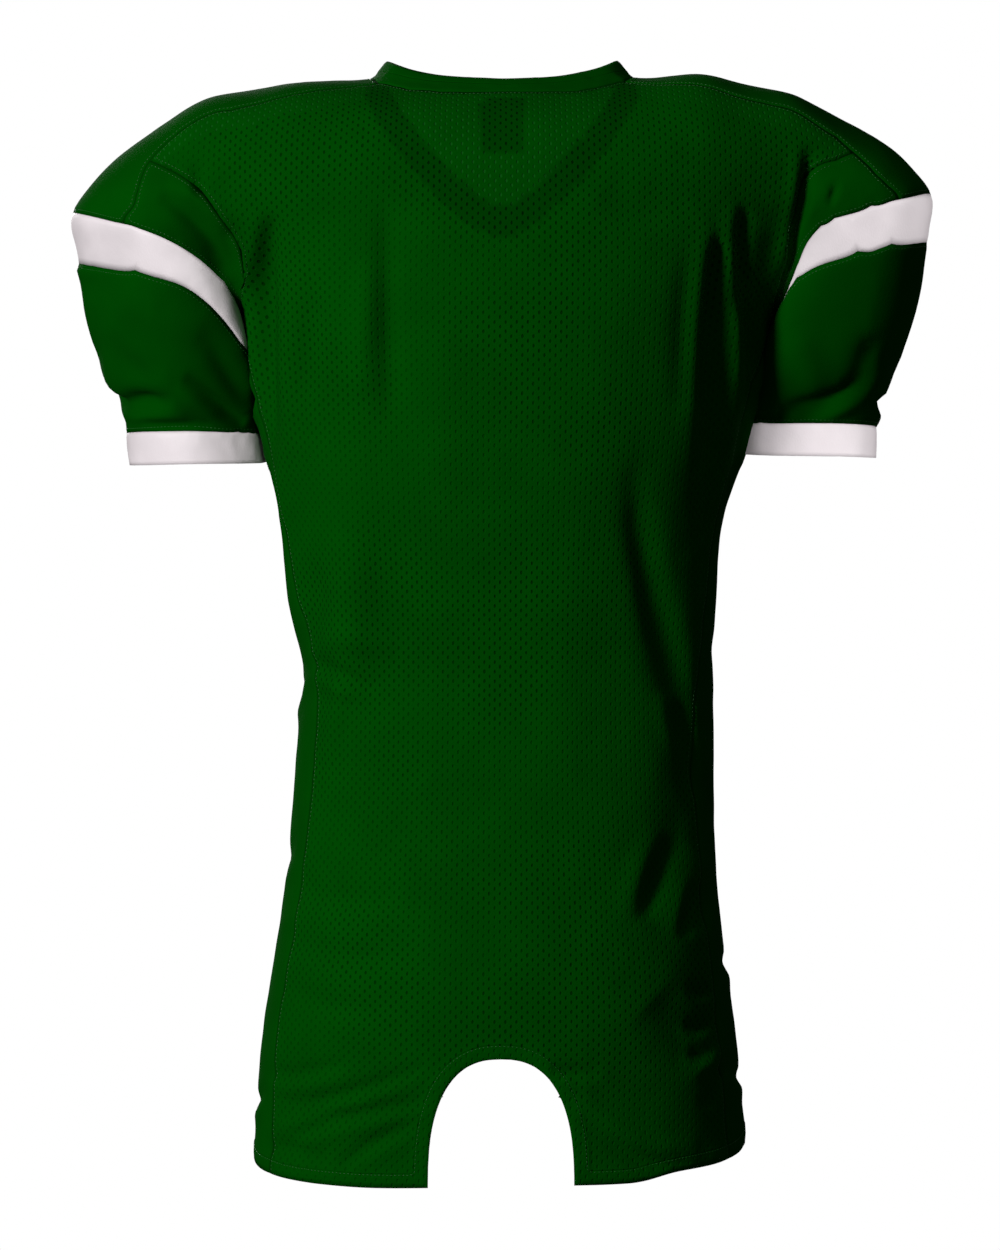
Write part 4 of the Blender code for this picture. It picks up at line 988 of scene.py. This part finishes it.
def mesh_cloth(name, colour, roughness, shine):
    """Pin-hole mesh: columns of upright slits, staggered. They are not open: their colour is painted shade
    and painted light of what lies behind the cloth.
    """
    cloth, tint, normal = cloth_material(name, colour, roughness, shine)
    away = cloth.math("MULTIPLY_ADD", cloth.noise(HOLE_LUMP), HOLE_UNEVEN, from_slit(cloth))
    solid = cloth.span(away, *HOLE_EDGE)
    hemmed = cloth.span(cloth.kept("edge"), HEM - HEM_PLAIN, HEM, 1.0, 0.0)
    lit_behind = cloth.span(cloth.noise(LIT_BEHIND_PATCH), *LIT_BEHIND_SPREAD)
    # The slits' colour: painted shade of the jersey's inside, painted light from lit cloth behind in random
    # patches and from the open neck, and painted shade of the neck band or the label.
    painted_through = cloth.blend(cloth.kept("open_neck"), cloth.blend(lit_behind, SHADED_INSIDE_GREEN, LIT_BEHIND_GREEN), NECK_LIGHT_GREEN)
    painted_through = cloth.blend(cloth.kept("backed"), painted_through, BEHIND_SHADE_GREEN)
    # Painted shade of the neck band or the label, on the mesh itself.
    tint = cloth.blend(cloth.math("MULTIPLY", cloth.kept("backed"), BEHIND_SHADE_SHARE), tint, BEHIND_SHADE_GREEN)
    tint = cloth.blend(cloth.math("MAXIMUM", solid, hemmed), painted_through, tint)
    return cloth.finish(tint, cloth.raise_by(solid, HOLE_DEPTH, normal))


def thread_material(name, colour):
    """Twisted sewing thread."""
    thread = Nodes(name)
    thread.shader.inputs["Base Color"].default_value = colour
    twist = thread.noise(TWIST)
    least, spread = THREAD_ROUGHNESS
    thread.join(thread.math("MULTIPLY_ADD", twist, spread, least), thread.shader.inputs["Roughness"])
    thread.join(thread.raise_by(twist, TWIST_DEPTH), thread.shader.inputs["Normal"])
    return thread.material


def slot_of(name):
    """The material slot that a piece takes its finish from."""
    if name in MESH_PIECES:
        return "mesh"
    if name == "collar":
        return "neck_band"
    if name == "neck_label":
        return "label"
    return "white_cloth" if name.startswith(WHITE_PIECES) else "smooth_cloth"


def slot_materials():
    """The material of each slot."""
    return {
        "mesh": mesh_cloth("green_mesh", GREEN, roughness=0.92, shine=0.01),
        "smooth_cloth": plain_cloth("green_smooth", DEEP_GREEN, roughness=0.90, shine=0.01),
        "neck_band": plain_cloth("green_band", DEEP_GREEN, roughness=0.88, shine=0.01),
        "white_cloth": plain_cloth("white_smooth", WHITE, roughness=0.55, shine=0.2, turned=False),
        "label": plain_cloth("label_patch", LABEL_GREEN, roughness=0.5, shine=0.1, turned=False),
    }


# The jersey.


def sewn_cloth():
    """All the cloth of the jersey as one dressed mesh."""
    cloth = sewn_together()
    even_stripes(cloth)
    cloth = subdivided(cloth)
    halve_long_rows(cloth)
    cloth = subdivided(cloth)
    dress(cloth)
    return cloth


def make_pieces():
    """Each piece as a sheet of its own, with its material, and each piece's stitches."""
    cloth = sewn_cloth()
    materials = slot_materials()
    green_thread = thread_material("green_thread", THREAD_GREEN)
    white_thread = thread_material("white_thread", WHITE)
    pieces, threads = {}, {}
    for number, name in enumerate(NAMES):
        pieces[name] = in_scene(name + "_cloth", cut_out(cloth, number, name + "_cloth"))
    for name, piece in pieces.items():
        lines = stitch_lines(name, piece.data)
        if lines:
            thread = white_thread if name.startswith(WHITE_PIECES) else green_thread
            threads[name] = sew(name + "_stitches", lines, thread)
        give_thickness(piece, BAND_SHELL if name == "collar" else SHELL)
    pieces["neck_label"] = label_sheet()
    for name, piece in pieces.items():
        piece.data.materials.append(materials[slot_of(name)])
    return pieces, threads


PIECES, THREADS = make_pieces()
for NAME, PIECE in PIECES.items():
    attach(PIECE, "root")
    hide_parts(NAME)
    slot_of(NAME)
for NAME, THREAD in THREADS.items():
    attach(THREAD, "root")
    slot_of(NAME)
for NAME, (WIDTH, LENGTH, AREA) in FLAT.items():
    SEWN_ON = [THREADS[NAME]] if NAME in THREADS else []


# Floor, light and camera.


def make_floor():
    """A pale floor far below the jersey, which is held up. It throws no light back on it."""
    sheet = bmesh.new()
    bmesh.ops.create_circle(sheet, cap_ends=True, segments=FLOOR_CORNERS, radius=FLOOR_RADIUS)
    floor = in_scene("floor", mesh_from(sheet, "floor"))
    floor.location = (0.0, 0.0, FLOOR_HEIGHT)
    paint = Nodes("floor_paint")
    shade = paint.blend(paint.noise(FLOOR_PATCH, detail=2.0), *FLOOR_SHADES)
    paint.join(shade, paint.shader.inputs["Base Color"])
    paint.shader.inputs["Roughness"].default_value = FLOOR_ROUGHNESS
    floor.data.materials.append(paint.material)
    floor.visible_diffuse = floor.visible_glossy = False
    floor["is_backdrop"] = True
    return floor


def make_light(name, place, aim, size, power, lit):
    """A round soft light, only for what is in the list, or for everything if that is empty."""
    lamp = bpy.data.lights.new(name, "AREA")
    lamp.shape = "DISK"
    lamp.size = size
    lamp.energy = power
    light = in_scene(name, lamp)
    light.location = place
    light.rotation_euler = (Vector((0.0, 0.0, aim)) - Vector(place)).to_track_quat("-Z", "Y").to_euler()
    if lit:
        receivers = bpy.data.collections.new(name + "_lit")
        for piece in lit:
            receivers.objects.link(piece)
        light.light_linking.receiver_collection = receivers


def make_world():
    """A white backdrop for the camera, and a dim even light for the jersey."""
    world = bpy.data.worlds.new("studio")
    world.use_nodes = True
    SCENE.world = world
    tree = world.node_tree
    dim = tree.nodes["Background"]
    bright = tree.nodes.new("ShaderNodeBackground")
    for background, strength in ((dim, BACKDROP_LIGHT), (bright, BACKDROP_SEEN)):
        background.inputs["Color"].default_value = BACKDROP_WHITE
        background.inputs["Strength"].default_value = strength
    path = tree.nodes.new("ShaderNodeLightPath")
    pick = tree.nodes.new("ShaderNodeMixShader")
    tree.links.new(path.outputs["Is Camera Ray"], pick.inputs[0])
    tree.links.new(dim.outputs[0], pick.inputs[1])
    tree.links.new(bright.outputs[0], pick.inputs[2])
    tree.links.new(pick.outputs[0], tree.nodes["World Output"].inputs["Surface"])


def make_camera():
    """The photo's view: level, from behind."""
    lens = bpy.data.cameras.new("camera")
    lens.sensor_width = SENSOR
    lens.lens = SENSOR * CAMERA[1] / PICTURE_HEIGHT
    eye = in_scene("camera", lens)
    eye.location = CAMERA
    eye.rotation_euler = (math.pi / 2, 0.0, math.pi)
    return eye


make_world()
LIT = {"floor": make_floor(), **PIECES}
for NAME, (PLACE, AIM, SIZE, POWER, STARTS) in LIGHTS.items():
    RECEIVERS = [piece for name, piece in LIT.items() if name.startswith(STARTS)]
    make_light(NAME, PLACE, AIM, SIZE, POWER, RECEIVERS)
SCENE.camera = make_camera()
SCENE.view_settings.view_transform = "Standard"

[[list(corner) for corner in box] for box in (CAD_BOX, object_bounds())]
